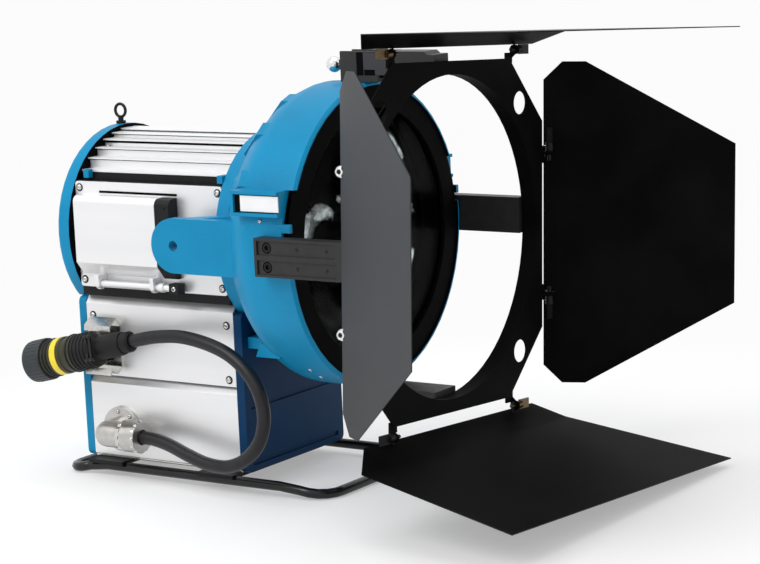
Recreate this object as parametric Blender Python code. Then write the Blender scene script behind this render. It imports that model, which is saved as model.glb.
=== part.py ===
"""Large discharge PAR head with a four-leaf barn door, parked head connector and floor skid.

The lamp is modelled about its beam axis: +Z is up, the beam leaves along -Y, and y = 0 is the
front face of the barn-door plate. At the end the whole lamp is stood on the ground plane.
"""
import math

import bmesh
import bpy
from mathutils import Matrix, Vector

MM = 0.001

# Clearances
SEAT_GAP = 0.3 * MM
RUNNING_GAP = 0.5 * MM

# Reach of the tools that cut right through
BEYOND = 500 * MM

# Head, measured along the beam from the barn-door plate
RIM_Y = 108 * MM
BAND_LENGTH = 60 * MM
NECK_Y = 262 * MM
REAR_PLATE_Y = 500 * MM
REAR_PLATE_THICKNESS = 21 * MM
RING_RADIUS = 188.5 * MM
NECK_RADIUS = 131 * MM
CASTING_WALL = 5 * MM
REAR_PLATE_RADIUS = 129 * MM
LATHE_STEPS = 48

# Side arms that carry the stirrup pivots
ARM_FACE_X = 166 * MM
ARM_THICKNESS = 14 * MM
ARM_PIVOT_Y = 301 * MM
ARM_END_RADIUS = 34 * MM
ARM_ROOT_X = 120 * MM
ARM_WEB_X = 152 * MM
ARM_WEB_RISE = 10 * MM
PIVOT_HOLE_RADIUS = 6.5 * MM

# Name frame cast on each side of the ring
FRAME_LOW_Z = 46 * MM
FRAME_HIGH_Z = 76 * MM
FRAME_BACK_Y = 188 * MM
FRAME_PROUD = 5 * MM
FRAME_BORDER = 4 * MM
FRAME_DEPTH = 5 * MM
NOTCH_LOW_Z = 17 * MM
NOTCH_DEPTH = 12 * MM
TAB_LOW_Z = 27 * MM
TAB_HEIGHT = 10 * MM
BLANK_PLATE_THICKNESS = 1.5 * MM

# Cast lugs and feet on the ring and shoulder
LUG_BACK_Y = 210 * MM
LUG_LENGTH = 30 * MM
LUG_TOP_Z = -121 * MM
LUG_HEIGHT = 17 * MM
LUG_OUTER_X = 130 * MM
PAD_ANGLES = (-62, -40, -20, 20, 40, 62)
PAD_HALF_WIDTH = 10 * MM
PAD_PROUD = 5 * MM

# Inner chassis, fins and side panels
CHASSIS_HALF_WIDTH = 108 * MM
CHASSIS_NECK_WIDTH = 95 * MM
CHASSIS_TOP_Z = 77 * MM
CHASSIS_FLOOR_Z = -81 * MM
CHASSIS_WALL = 3 * MM
CHASSIS_CROWN_RADIUS = 98 * MM
FIN_TIP_RADIUS = 125 * MM
FIN_COUNT = 6
FIN_FIRST_ANGLE = math.radians(6.7)
FIN_ANGLE_STEP = math.radians(8.7)
FIN_LIP = 4 * MM
FIN_LIP_THICKNESS = 1.8 * MM
PANEL_THICKNESS = 3.5 * MM
PANEL_TOP_Z = 67 * MM
PANEL_BOTTOM_Z = -69 * MM

# Curved cover on the near side panel
COVER_FRONT_Y = 357 * MM
COVER_BACK_Y = 489 * MM
COVER_CAP_LENGTH = 23 * MM
COVER_PROUD = 18 * MM
COVER_HALF_HEIGHT = 51 * MM
COVER_FACET = 16 * MM
ROD_RADIUS = 4.5 * MM
ROD_SQUARE = 13 * MM
ROD_Z = -62 * MM
ROD_LUG_THICKNESS = 6 * MM

# Ignitor box under the head
BOX_HALF_WIDTH = 104.5 * MM
BOX_FRONT_Y = 250 * MM
BOX_PLATE_THICKNESS = 12 * MM
BOX_TOP_Z = -83 * MM
BOX_TIER_Z = -187 * MM
BOX_BOTTOM_Z = -295 * MM
BOX_SHEET = 2 * MM
BOX_FOLD = 9 * MM
BOX_FOLD_IN = 7 * MM
BOX_FLOOR_THICKNESS = 3 * MM
FRONT_BAND_DROPS = (129 * MM, 201 * MM)
FRONT_BAND_HALF = 3 * MM
FRONT_BAND_DEPTH = 2.5 * MM
IGNITOR_HALF_WIDTH = 62 * MM
IGNITOR_HEIGHT = 91 * MM
IGNITOR_FRONT_ROOM = 38 * MM
IGNITOR_BACK_ROOM = 70 * MM

# Skid
SKID_TUBE_RADIUS = 6.5 * MM
SKID_FLAT = 0.6 * MM
SKID_HALF_WIDTH = 112 * MM
SKID_FRONT_Y = 130 * MM
SKID_BACK_Y = 534 * MM
SKID_CORNER = 36 * MM
SKID_DIP = 7 * MM
SKID_DIP_RUN = 60 * MM
SKID_REAR_FLARE = 12 * MM
SKID_STEP = 30 * MM
CLAMP_PLATE = 5 * MM
CLAMP_SKIN = 1.4 * MM
CLAMP_LENGTH = 56 * MM
CLAMP_FRONT_Y = 292 * MM
CLAMP_REAR_Y = 470 * MM

# Accessory brackets and barn-door ring
DOOR_OPENING_MARGIN = 8.3 * MM
DOOR_OPENING_RADIUS = RING_RADIUS + DOOR_OPENING_MARGIN
DOOR_RING_WALL = 1.7 * MM
DOOR_RING_DEPTH = 20 * MM
DOOR_FLANGE_LIP = 4 * MM
FLANGE_RADIUS = DOOR_OPENING_RADIUS + DOOR_RING_WALL + DOOR_FLANGE_LIP
FLANGE_THICKNESS = 2 * MM
BRACKET_HALF_WIDTH = 23 * MM
BRACKET_BACK_Y = 147 * MM
BRACKET_FRONT_Y = 7 * MM
BRACKET_WALL = 3.5 * MM
CHANNEL_AT = 11.5 * MM
CHANNEL_HALF = 8.5 * MM
CHANNEL_DEPTH = 2.5 * MM
CHANNEL_FRONT_Y = 30 * MM
CHANNEL_END_WALL = 4 * MM
WELL_SETBACK = 17 * MM
WELL_RADIUS = 6.8 * MM
WELL_DEPTH = 9 * MM
PIN_HOLE_SETBACKS = (62 * MM, 104 * MM)
PIN_HOLE_RADIUS = 3 * MM
PIN_HOLE_DEPTH = 7 * MM
LATCH_HALF_WIDTH = 15 * MM
LATCH_PIVOT_Y = 100 * MM
LATCH_PIVOT_Z = FLANGE_RADIUS + 10.5 * MM
LATCH_TOP_Z = LATCH_PIVOT_Z + 13 * MM
LATCH_BASE_AHEAD = 28 * MM
LATCH_BASE_BEHIND = 45 * MM
LATCH_CHEEK = 4 * MM
LATCH_PIN_RADIUS = 3 * MM
LATCH_PRESS_ROOM = 19.5 * MM
LATCH_TAIL_LENGTH = 50 * MM
LATCH_KNOB_RADIUS = 10 * MM

# Barn-door plate: a square with cut corners, across-flats half width first
PLATE_BORDER = 16.2 * MM
PLATE_HALF = DOOR_OPENING_RADIUS + PLATE_BORDER
PLATE_CUT = 81 * MM
PLATE_THICKNESS = 1.5 * MM
PLATE_HOLE_RADIUS = 14.5 * MM
PLATE_HOLE_AT = 157 * MM
DOOR_STEPS = 72
BARN_DOOR_TURN = math.radians(3.7)

# Leaves
LEAF_SHEET = 1.2 * MM
HINGE_STAND_OFF = 11 * MM
HINGE_RADIUS = PLATE_HALF + HINGE_STAND_OFF
HINGE_Y = -4 * MM
HINGE_EYE_RADIUS = 6 * MM
HINGE_PIN_RADIUS = 2.5 * MM
EAR_THICKNESS = 2.5 * MM
EAR_FOOT_WIDTH = 15 * MM
WING_REACH = 30 * MM
WING_HALF = 6 * MM
SIDE_EAR_AT = 93 * MM
WIDE_EAR_AT = 140 * MM
SIDE_LEAF_OFFSET = 8 * MM
SIDE_LEAF_LENGTH = 244 * MM
SIDE_LEAF_HINGE_HALF = 184 * MM
SIDE_LEAF_WIDE_HALF = 207 * MM
SIDE_LEAF_TIP_HALF = 102 * MM
WIDE_LEAF_FLANGE = 33 * MM
WIDE_LEAF_LENGTH = 223 * MM
WIDE_LEAF_HINGE_HALF = 191 * MM
WIDE_LEAF_BEND_HALF = 234 * MM
WIDE_LEAF_TIP_HALF = 268 * MM
FLANGE_BEND = math.radians(30)
LEAF_OPEN = {"left": 128, "right": 117.5, "top": 90.8, "bottom": 100}
LEAF_QUARTER = {"top": 0, "right": 90, "bottom": 180, "left": 270}
WIDE_LEAVES = ("top", "bottom")

# Optics
GLASS_Y = 116 * MM
GLASS_EDGE_ROOM = 15.5 * MM
GLASS_RADIUS = RING_RADIUS - CASTING_WALL - GLASS_EDGE_ROOM
GLASS_THICKNESS = 6 * MM
SEAT_THICKNESS = 5 * MM
SEAT_OVERLAP = 7 * MM
RETAINER_WIDTH = 13 * MM
RETAINER_THICKNESS = 5 * MM
REFLECTOR_SEAT_Y = 148 * MM
REFLECTOR_MOUTH_Y = 166 * MM
REFLECTOR_MOUTH_RADIUS = 145 * MM
REFLECTOR_FOCAL = 34 * MM
REFLECTOR_THROAT_RADIUS = 34 * MM
REFLECTOR_WALL = 2 * MM
BULB_RADIUS = 15 * MM
LAMP_BASE_RADIUS = 19 * MM
LAMP_BASE_LENGTH = 32 * MM
LAMP_BASE_SOCKET_RADIUS = 12 * MM
LAMP_BASE_SOCKET_DEPTH = 14 * MM
BULB_TIP_AHEAD = 30 * MM
BULB_STEM_RADIUS = 7 * MM
CARRIAGE_Y = 424 * MM
CARRIAGE_THICKNESS = 12 * MM
CARRIAGE_HALF_HEIGHT = 24 * MM
GUIDE_ROD_RADIUS = 4 * MM
GUIDE_ROD_AT = 52 * MM
GUIDE_ROD_LENGTH = 100 * MM
GUIDE_BAR_HALF = 12 * MM
GUIDE_BAR_THICKNESS = 6 * MM

# Cable, gland and parked connector
CABLE_DIAMETER = 17 * MM
GLAND_Y = 450 * MM
GLAND_Z = -255 * MM
GLAND_FLANGE_RADIUS = 29.5 * MM
GLAND_BODY_RADIUS = 17 * MM
GLAND_STAND_OFF = 30 * MM
GLAND_NUT_RADIUS = 20.5 * MM
CONNECTOR_RADIUS = 24 * MM
COUPLING_RADIUS = 27 * MM
CLIP_SHEET = 1.5 * MM
CONNECTOR_START = Vector((-0.1400, 0.3960, -0.1296))
CONNECTOR_END = Vector((-0.1445, 0.5586, -0.1675))
SEAL_NUT_LENGTH = 14 * MM
BACKSHELL_NECK = 46 * MM
BACKSHELL_BODY = 28 * MM
COUPLING_LENGTH = 30 * MM

# Cable route between the gland mouth and the connector's seal nut, in lamp coordinates
CABLE_ROUTE = (
    (-0.1345, 0.3920, -0.2550), (-0.1350, 0.3740, -0.2556), (-0.1375, 0.3480, -0.2600),
    (-0.1420, 0.3150, -0.2690), (-0.1460, 0.2820, -0.2760), (-0.1490, 0.2480, -0.2755),
    (-0.1515, 0.2180, -0.2630), (-0.1530, 0.1950, -0.2400), (-0.1535, 0.1850, -0.2100),
    (-0.1530, 0.1900, -0.1790), (-0.1510, 0.2090, -0.1530), (-0.1485, 0.2380, -0.1340),
    (-0.1460, 0.2740, -0.1230), (-0.1435, 0.3160, -0.1180), (-0.1415, 0.3560, -0.1212),
    (-0.1404, 0.3830, -0.1265), (-0.1400, 0.3957, -0.1295),
)


def clear_scene():
    for item in list(bpy.data.objects):
        bpy.data.objects.remove(item, do_unlink=True)


def finish(name, colour, metallic, roughness):
    material = bpy.data.materials.new(name)
    material.use_nodes = True
    shader = material.node_tree.nodes["Principled BSDF"]
    shader.inputs["Base Color"].default_value = (*colour, 1)
    shader.inputs["Metallic"].default_value = metallic
    shader.inputs["Roughness"].default_value = roughness
    return material


def mesh_object(name, verts, faces):
    mesh = bpy.data.meshes.new(name)
    mesh.from_pydata([tuple(v) for v in verts], [], faces)
    bm = bmesh.new()
    bm.from_mesh(mesh)
    bmesh.ops.recalc_face_normals(bm, faces=bm.faces)
    bm.to_mesh(mesh)
    bm.free()
    item = bpy.data.objects.new(name, mesh)
    bpy.context.collection.objects.link(item)
    return item


def smooth(item, degrees=35):
    item.data.shade_smooth()
    item.data.set_sharp_from_angle(angle=math.radians(degrees))
    return item


def carve(target, tool, operation="DIFFERENCE"):
    """Apply one exact boolean and remove the tool."""
    cut = target.modifiers.new("cut", "BOOLEAN")
    cut.object = tool
    cut.operation = operation
    cut.solver = "EXACT"
    bpy.context.view_layer.update()
    graph = bpy.context.evaluated_depsgraph_get()
    result = bpy.data.meshes.new_from_object(target.evaluated_get(graph))
    target.modifiers.clear()
    target.data = result
    bpy.data.objects.remove(tool, do_unlink=True)
    return target


def unite(target, *tools):
    for tool in tools:
        carve(target, tool, "UNION")
    return target


def move(item, matrix):
    item.data.transform(matrix)
    return item


def shifted(item, x=0.0, y=0.0, z=0.0):
    return move(item, Matrix.Translation((x, y, z)))


def block(name, low, high):
    (x0, y0, z0), (x1, y1, z1) = low, high
    verts = [(x, y, z) for x in (x0, x1) for y in (y0, y1) for z in (z0, z1)]
    faces = [(0, 1, 3, 2), (4, 6, 7, 5), (0, 4, 5, 1), (2, 3, 7, 6), (0, 2, 6, 4), (1, 5, 7, 3)]
    return mesh_object(name, verts, faces)


def prism(name, outline, axis, low, high):
    """Extrude a closed outline along X, Y or Z. Outlines are (y, z), (x, z) or (x, y)."""
    def point(a, b, depth):
        return {"X": (depth, a, b), "Y": (a, depth, b), "Z": (a, b, depth)}[axis]
    count = len(outline)
    verts = [point(a, b, low) for a, b in outline] + [point(a, b, high) for a, b in outline]
    faces = [tuple(range(count)), tuple(range(2 * count - 1, count - 1, -1))]
    faces += [(i, (i + 1) % count, count + (i + 1) % count, count + i) for i in range(count)]
    return mesh_object(name, verts, faces)


def lathe(name, profile, steps=LATHE_STEPS, axis="Y"):
    """Turn a closed (radius, along) profile about the Y or X axis."""
    verts = []
    for step in range(steps):
        angle = 2 * math.pi * step / steps
        for radius, along in profile:
            a, b = radius * math.cos(angle), radius * math.sin(angle)
            verts.append((a, along, b) if axis == "Y" else (along, a, b))
    count = len(profile)
    faces = []
    for step in range(steps):
        here, there = step * count, (step + 1) % steps * count
        for i in range(count):
            j = (i + 1) % count
            faces.append((here + i, here + j, there + j, there + i))
    item = mesh_object(name, verts, faces)
    bm = bmesh.new()
    bm.from_mesh(item.data)
    bmesh.ops.remove_doubles(bm, verts=bm.verts, dist=1e-6)
    bmesh.ops.dissolve_degenerate(bm, edges=bm.edges, dist=1e-7)
    bmesh.ops.recalc_face_normals(bm, faces=bm.faces)
    bm.to_mesh(item.data)
    bm.free()
    return smooth(item)


def aimed(item, start, end):
    """Lay an item modelled along +Y from the origin on the line from start to end."""
    turn = Vector((0, 1, 0)).rotation_difference(end - start)
    return move(item, Matrix.Translation(start) @ turn.to_matrix().to_4x4())


def rod(name, start, end, radius, steps=16):
    start, end = Vector(start), Vector(end)
    length = (end - start).length
    item = lathe(name, [(0, 0), (radius, 0), (radius, length), (0, length)], steps)
    return aimed(item, start, end)


def arc(centre, radius, first, last, steps):
    """Points of an arc, angles in degrees from the first axis."""
    points = []
    for step in range(steps + 1):
        angle = math.radians(first + (last - first) * step / steps)
        points.append((centre[0] + radius * math.cos(angle), centre[1] + radius * math.sin(angle)))
    return points


def rounded(corners, radii, steps=4):
    """Round every corner of a closed outline, by one radius or by one for each corner."""
    count = len(corners)
    if not isinstance(radii, (list, tuple)):
        radii = [radii] * count
    points = []
    for i, corner in enumerate(corners):
        here = Vector(corner)
        before = (Vector(corners[i - 1]) - here).normalized()
        after = (Vector(corners[(i + 1) % count]) - here).normalized()
        half = before.angle(after) / 2
        reach = radii[i] / math.tan(half)
        centre = here + (before + after).normalized() * (radii[i] / math.sin(half))
        start, end = here + before * reach - centre, here + after * reach - centre
        first = math.atan2(start.y, start.x)
        sweep = math.remainder(math.atan2(end.y, end.x) - first, 2 * math.pi)
        for step in range(steps + 1):
            angle = first + sweep * step / steps
            points.append((centre.x + radii[i] * math.cos(angle), centre.y + radii[i] * math.sin(angle)))
    return points


def mirrored(item, name):
    """A copy reflected to the other side of the lamp."""
    copy = mesh_object(name, [(-v.co.x, v.co.y, v.co.z) for v in item.data.vertices],
                       [tuple(p.vertices) for p in item.data.polygons])
    return smooth(copy)


class Lamp:
    """Holds the bodies' empties and hands each finished node to its body."""

    def __init__(self):
        self.root = self.empty("lamp", None, Matrix.Identity(4))
        self.nodes = []

    def empty(self, name, parent, world):
        item = bpy.data.objects.new(name, None)
        bpy.context.collection.objects.link(item)
        item.parent = parent
        item.matrix_world = world
        bpy.context.view_layer.update()
        return item

    def add(self, item, material, body=None):
        """Give a node its material and parent it, with its mesh in the body's own frame."""
        body = body or self.root
        item.data.materials.clear()
        item.data.materials.append(material)
        if body is not self.root:
            item.data.transform(body.matrix_world.inverted())
        item.parent = body
        self.nodes.append(item)
        return item

    def add_local(self, item, material, body):
        """The same for a mesh that is already in the body's frame."""
        item.data.materials.clear()
        item.data.materials.append(material)
        item.parent = body
        self.nodes.append(item)
        return item


def housing_outline():
    """Outer profile of the front casting: rim, ring band, shoulder and neck."""
    rim_round = 3 * MM
    band_end = RIM_Y + BAND_LENGTH
    points = [(RING_RADIUS - rim_round, RIM_Y), (RING_RADIUS, RIM_Y + rim_round)]
    points.append((RING_RADIUS, band_end))
    steps = 9
    for step in range(1, steps + 1):
        share = step / steps
        y = band_end + (NECK_Y - band_end) * share
        fall = 1 - math.cos(math.pi / 2 * min(1.0, share * 1.25))
        radius = RING_RADIUS - (RING_RADIUS - NECK_RADIUS) * fall
        points.append((radius, y))
    return points


def make_front_housing(lamp, blue):
    """Outer casting with its arms, frames and feet first, then hollowed from the mouth."""
    outer = housing_outline()
    housing = lathe("front_housing", outer + [(0, NECK_Y), (0, RIM_Y)])
    for side in (-1, 1):
        unite(housing, arm_blank(side), arm_web(side), frame_blank(side), foot_blank(side), lug_blank(side))
    for angle in PAD_ANGLES:
        unite(housing, pad_blank(angle))
    wall = [(radius - CASTING_WALL, y) for radius, y in outer[2::2]]
    before_rim, past_neck = RIM_Y - CASTING_WALL, NECK_Y + CASTING_WALL
    hollow = [(0, before_rim), (wall[0][0], before_rim)] + wall
    hollow += [(NECK_RADIUS - CASTING_WALL, past_neck), (0, past_neck)]
    half_step = Matrix.Rotation(math.pi / LATHE_STEPS, 4, "Y")
    carve(housing, move(lathe("hollow", hollow), half_step))
    for side in (-1, 1):
        low, high = ARM_FACE_X - 2 * ARM_THICKNESS, ARM_FACE_X + ARM_THICKNESS
        carve(housing, rod("pivot", (side * low, ARM_PIVOT_Y, 0), (side * high, ARM_PIVOT_Y, 0),
                           PIVOT_HOLE_RADIUS, 20))
        carve(housing, frame_pocket(side))
        carve(housing, rim_notch(side))
        unite(housing, rim_tab(side))
    for seat_front in (GLASS_Y + GLASS_THICKNESS + SEAT_GAP, REFLECTOR_SEAT_Y):
        unite(housing, seat_ring(seat_front))
    lamp.add(smooth(housing), blue)


def seat_ring(front):
    """Ledge inside the casting that a round part rests against."""
    inner, outer, back = GLASS_RADIUS - SEAT_OVERLAP, RING_RADIUS - CASTING_WALL / 2, front + SEAT_THICKNESS
    return lathe("seat", [(inner, front), (outer, front), (outer, back), (inner, back)])


def arm_blank(side):
    """Arm with a round end, wedge shaped in plan where it grows out of the shoulder."""
    root_y = RIM_Y + BAND_LENGTH - CASTING_WALL
    outline = [(root_y, ARM_END_RADIUS), (root_y, -ARM_END_RADIUS)]
    outline += arc((ARM_PIVOT_Y, 0), ARM_END_RADIUS, -90, 90, 16)
    low, high = sorted((side * (ARM_ROOT_X - 6 * MM), side * ARM_FACE_X))
    arm = prism("arm", outline, "X", low, high)
    inner_face = ARM_FACE_X - ARM_THICKNESS
    wedge = [(side * inner_face, ARM_PIVOT_Y + 60 * MM), (side * inner_face, ARM_PIVOT_Y - 14 * MM),
             (side * ARM_ROOT_X, NECK_Y - 8 * MM), (side * 0.08, NECK_Y - 8 * MM),
             (side * 0.08, ARM_PIVOT_Y + 60 * MM)]
    carve(arm, prism("wedge", wedge, "Z", -0.05, 0.05))
    return arm


def arm_web(side):
    """Sloping web from the arm's top edge up to the ring."""
    root_y = RIM_Y + BAND_LENGTH - CASTING_WALL
    outline = [(root_y, 0), (ARM_PIVOT_Y - ARM_END_RADIUS / 2, 0),
               (ARM_PIVOT_Y - ARM_END_RADIUS / 2, ARM_END_RADIUS - 2 * MM),
               (root_y, ARM_END_RADIUS + ARM_WEB_RISE)]
    low, high = sorted((side * (ARM_WEB_X - CASTING_WALL), side * ARM_WEB_X))
    return prism("web", outline, "X", low, high)


def frame_blank(side):
    face_x = RING_RADIUS + FRAME_PROUD
    low, high = sorted((side * (RING_RADIUS - FRAME_HIGH_Z / 2), side * face_x))
    return block("frame", (low, RIM_Y + NOTCH_DEPTH, FRAME_LOW_Z), (high, FRAME_BACK_Y, FRAME_HIGH_Z))


def frame_pocket(side):
    """Recess for the plate, open towards the rim."""
    face_x = RING_RADIUS + FRAME_PROUD
    low, high = sorted((side * (face_x - FRAME_DEPTH), side * BEYOND))
    return block("pocket", (low, RIM_Y - NOTCH_DEPTH, FRAME_LOW_Z + FRAME_BORDER),
                 (high, FRAME_BACK_Y - FRAME_BORDER, FRAME_HIGH_Z - FRAME_BORDER))


def rim_notch(side):
    low, high = sorted((side * (RING_RADIUS - FRAME_HIGH_Z / 2), side * BEYOND))
    return block("notch", (low, RIM_Y - NOTCH_DEPTH, NOTCH_LOW_Z), (high, RIM_Y + NOTCH_DEPTH, FRAME_HIGH_Z))


def rim_tab(side):
    """Small cast tab left standing in the notch."""
    low, high = sorted((side * (RING_RADIUS - 1.5 * CASTING_WALL), side * (RING_RADIUS - CASTING_WALL / 2)))
    return block("tab", (low, RIM_Y, TAB_LOW_Z), (high, RIM_Y + 2 * NOTCH_DEPTH, TAB_LOW_Z + TAB_HEIGHT))


def foot_blank(side):
    """Cast foot between the shoulder and the ignitor box's front plate."""
    low_z, high_z = LUG_TOP_Z - LUG_HEIGHT + 1 * MM, LUG_TOP_Z - 2 * MM
    near, far = LUG_BACK_Y - LUG_LENGTH / 2, BOX_FRONT_Y - SEAT_GAP
    outline = [(far, low_z), (near, low_z), (near, high_z), (far, high_z)]
    low, high = sorted((side * BOX_HALF_WIDTH / 2, side * (BOX_HALF_WIDTH - BOX_PLATE_THICKNESS)))
    return prism("foot", outline, "X", low, high)


def lug_blank(side):
    """Bevelled lug on the lower shoulder."""
    slope = LUG_LENGTH / 4
    low_z = LUG_TOP_Z - LUG_HEIGHT
    outline = [(LUG_BACK_Y, low_z), (LUG_BACK_Y - LUG_LENGTH - slope, low_z),
               (LUG_BACK_Y - LUG_LENGTH, LUG_TOP_Z), (LUG_BACK_Y - slope, LUG_TOP_Z)]
    low, high = sorted((side * BOX_HALF_WIDTH / 2, side * LUG_OUTER_X))
    return prism("lug", outline, "X", low, high)


def pad_blank(angle):
    """Stepped rib over the shoulder, from the ring band towards the neck."""
    front, back = RIM_Y + BAND_LENGTH / 2, NECK_Y - BAND_LENGTH / 2
    front_top, back_top = RING_RADIUS - PAD_PROUD / 2, neck_radius_at(back) + PAD_PROUD
    middle = (front + back) / 2 + PAD_HALF_WIDTH
    middle_top = neck_radius_at(middle) + PAD_PROUD
    outline = [(front, NECK_RADIUS - CASTING_WALL), (back, NECK_RADIUS - CASTING_WALL), (back, back_top),
               (middle, middle_top), (front, front_top)]
    rib = prism("pad", outline, "X", -PAD_HALF_WIDTH, PAD_HALF_WIDTH)
    return move(rib, Matrix.Rotation(math.radians(angle), 4, "Y"))


def make_blank_plate(lamp, silver):
    face_x = RING_RADIUS + FRAME_PROUD - FRAME_DEPTH + SEAT_GAP
    border = FRAME_BORDER + 3 * RUNNING_GAP
    plate = block("blank_plate",
                  (-face_x - BLANK_PLATE_THICKNESS, RIM_Y + NOTCH_DEPTH + RUNNING_GAP, FRAME_LOW_Z + border),
                  (-face_x, FRAME_BACK_Y - 3 * FRAME_BORDER, FRAME_HIGH_Z - border))
    lamp.add(plate, silver)


def make_rear_plate(lamp, blue):
    back = REAR_PLATE_Y + REAR_PLATE_THICKNESS
    edge = 7 * MM
    profile = [(0, REAR_PLATE_Y), (REAR_PLATE_RADIUS, REAR_PLATE_Y),
               (REAR_PLATE_RADIUS, back - edge)]
    profile += [(r, y) for r, y in arc((REAR_PLATE_RADIUS - edge, back - edge), edge, 15, 90, 5)]
    profile += [(REAR_PLATE_RADIUS - 22 * MM, back), (REAR_PLATE_RADIUS - 26 * MM, back - 4 * MM),
                (0, back - 4 * MM)]
    plate = lathe("rear_end_plate", profile)
    carve(plate, block("flat", (-BEYOND, REAR_PLATE_Y - edge, -BEYOND),
                       (BEYOND, back + edge, BOX_TOP_Z - 1 * MM)))
    lamp.add(smooth(plate), blue)


def chassis_section(inset):
    """Cross-section of the inner chassis: straight sides, shoulders and a round crown."""
    half = CHASSIS_HALF_WIDTH - inset
    crown = CHASSIS_CROWN_RADIUS - inset
    shoulder = CHASSIS_TOP_Z - inset
    turn = math.degrees(math.asin(shoulder / crown))
    neck = CHASSIS_NECK_WIDTH - inset
    step = PANEL_TOP_Z - inset
    right = [(half, CHASSIS_FLOOR_Z + inset), (half, step), (neck, step), (neck, shoulder)]
    left = [(-x, z) for x, z in reversed(right)]
    return right + arc((0, 0), crown, turn, 180 - turn, 14) + left


def make_chassis(lamp, black):
    low, high = NECK_Y + SEAT_GAP, REAR_PLATE_Y - SEAT_GAP
    chassis = prism("inner_chassis", chassis_section(0), "Y", low, high)
    carve(chassis, prism("hollow", chassis_section(CHASSIS_WALL), "Y", low - 0.01, high + 0.01))
    reflector_room = REFLECTOR_MOUTH_RADIUS * 0.65
    carve(chassis, rod("scoop", (0, low - 0.01, 0), (0, low + 20 * MM, 0), reflector_room, 48))
    saddle_half = BOX_HALF_WIDTH - BOX_FOLD_IN - BOX_SHEET - SEAT_GAP
    saddle = block("saddle", (-saddle_half, low, BOX_TOP_Z - 2 * MM),
                   (saddle_half, high, CHASSIS_FLOOR_Z + CHASSIS_WALL / 2))
    carve(saddle, rod("scoop", (0, low - 0.01, 0), (0, low + 20 * MM, 0), reflector_room, 48))
    lamp.add(smooth(unite(chassis, saddle)), black)


def fin_section():
    """Stepped outline of the louvred top extrusion, from the left foot over to the right."""
    tips = []
    for i in range(FIN_COUNT):
        angle = FIN_FIRST_ANGLE + FIN_ANGLE_STEP * i
        tips.append((FIN_TIP_RADIUS * math.sin(angle), FIN_TIP_RADIUS * math.cos(angle)))
    foot_z = CHASSIS_TOP_Z + SEAT_GAP
    right = []
    for i, (x, z) in enumerate(tips):
        root_z = z - FIN_LIP_THICKNESS
        if i + 1 < FIN_COUNT:
            right += [(x, z), (x, root_z), (x - FIN_LIP, root_z), (x - FIN_LIP, tips[i + 1][1])]
        else:
            right += [(x, z), (x, foot_z)]
    inner_radius = CHASSIS_CROWN_RADIUS + SEAT_GAP
    turn = math.degrees(math.asin(foot_z / inner_radius))
    left = [(-x, z) for x, z in reversed(right)]
    return left + right + arc((0, 0), inner_radius, turn, 180 - turn, 14)


def make_fins(lamp, aluminium):
    fins = prism("fin_extrusion", fin_section(), "Y", NECK_Y + SEAT_GAP, REAR_PLATE_Y - SEAT_GAP)
    lamp.add(fins, aluminium)


def make_side_panels(lamp, aluminium):
    inner = CHASSIS_HALF_WIDTH + SEAT_GAP
    corners = [(NECK_Y + 1 * MM, PANEL_BOTTOM_Z), (REAR_PLATE_Y - 1 * MM, PANEL_BOTTOM_Z),
               (REAR_PLATE_Y - 1 * MM, PANEL_TOP_Z), (NECK_Y + 1 * MM, PANEL_TOP_Z)]
    outline = rounded(corners, 4 * MM)
    panel = prism("side_panel_left", outline, "X", -inner - PANEL_THICKNESS, -inner)
    other = mirrored(panel, "side_panel_right")
    lamp.add(panel, aluminium)
    lamp.add(other, aluminium)


def cover_section(inset=0.0):
    """Profile of the curved cover in (x, z), proud of the near side panel."""
    base = CHASSIS_HALF_WIDTH + SEAT_GAP + PANEL_THICKNESS + SEAT_GAP
    front = base + COVER_PROUD - inset
    top = COVER_HALF_HEIGHT - inset
    low = -COVER_HALF_HEIGHT + inset
    soft = COVER_PROUD / 2
    crown = arc((front - soft, top - soft), soft, 0, 80, 5)
    return [(-base, low), (-(front - COVER_FACET * 0.8), low), (-front, low + COVER_FACET)] + \
        [(-x, z) for x, z in crown] + [(-base, top)]


def make_cover(lamp, aluminium, black):
    shell = prism("side_cover", cover_section(), "Y", COVER_FRONT_Y, COVER_BACK_Y)
    hollow = prism("hollow", [(x + 1e-3 if x > -0.11 else x, z) for x, z in cover_section(2 * MM)],
                   "Y", COVER_FRONT_Y - 0.01, COVER_BACK_Y - 2 * MM)
    carve(shell, hollow)
    for y in (COVER_FRONT_Y + 9 * MM, COVER_BACK_Y - 34 * MM):
        unite(shell, rod_lug(y))
    lamp.add(smooth(shell), aluminium)
    cap = prism("side_cover_cap", cover_section(), "Y", COVER_FRONT_Y - COVER_CAP_LENGTH,
                COVER_FRONT_Y - SEAT_GAP)
    lamp.add(smooth(cap), black)
    make_focus_rod(lamp, aluminium)


def rod_axis_x():
    """Far enough off the side panel for the square end to turn."""
    return -(CHASSIS_HALF_WIDTH + PANEL_THICKNESS + 3 * SEAT_GAP + ROD_SQUARE / math.sqrt(2))


def rod_lug(y):
    """Bearing lug under the cover with the rod's bore."""
    x, reach = rod_axis_x(), ROD_RADIUS + 3 * MM
    base = -(CHASSIS_HALF_WIDTH + PANEL_THICKNESS + 2 * SEAT_GAP)
    outline = arc((x, ROD_Z), reach, 180, 360, 10)
    outline[-1] = (base, ROD_Z)
    outline += [(base, -COVER_HALF_HEIGHT + 1 * MM), (x - reach, -COVER_HALF_HEIGHT + 1 * MM)]
    lug = prism("lug", outline, "Y", y, y + ROD_LUG_THICKNESS)
    return carve(lug, rod("bore", (x, y - 0.01, ROD_Z), (x, y + 0.02, ROD_Z),
                          ROD_RADIUS + SEAT_GAP, 20))


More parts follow.
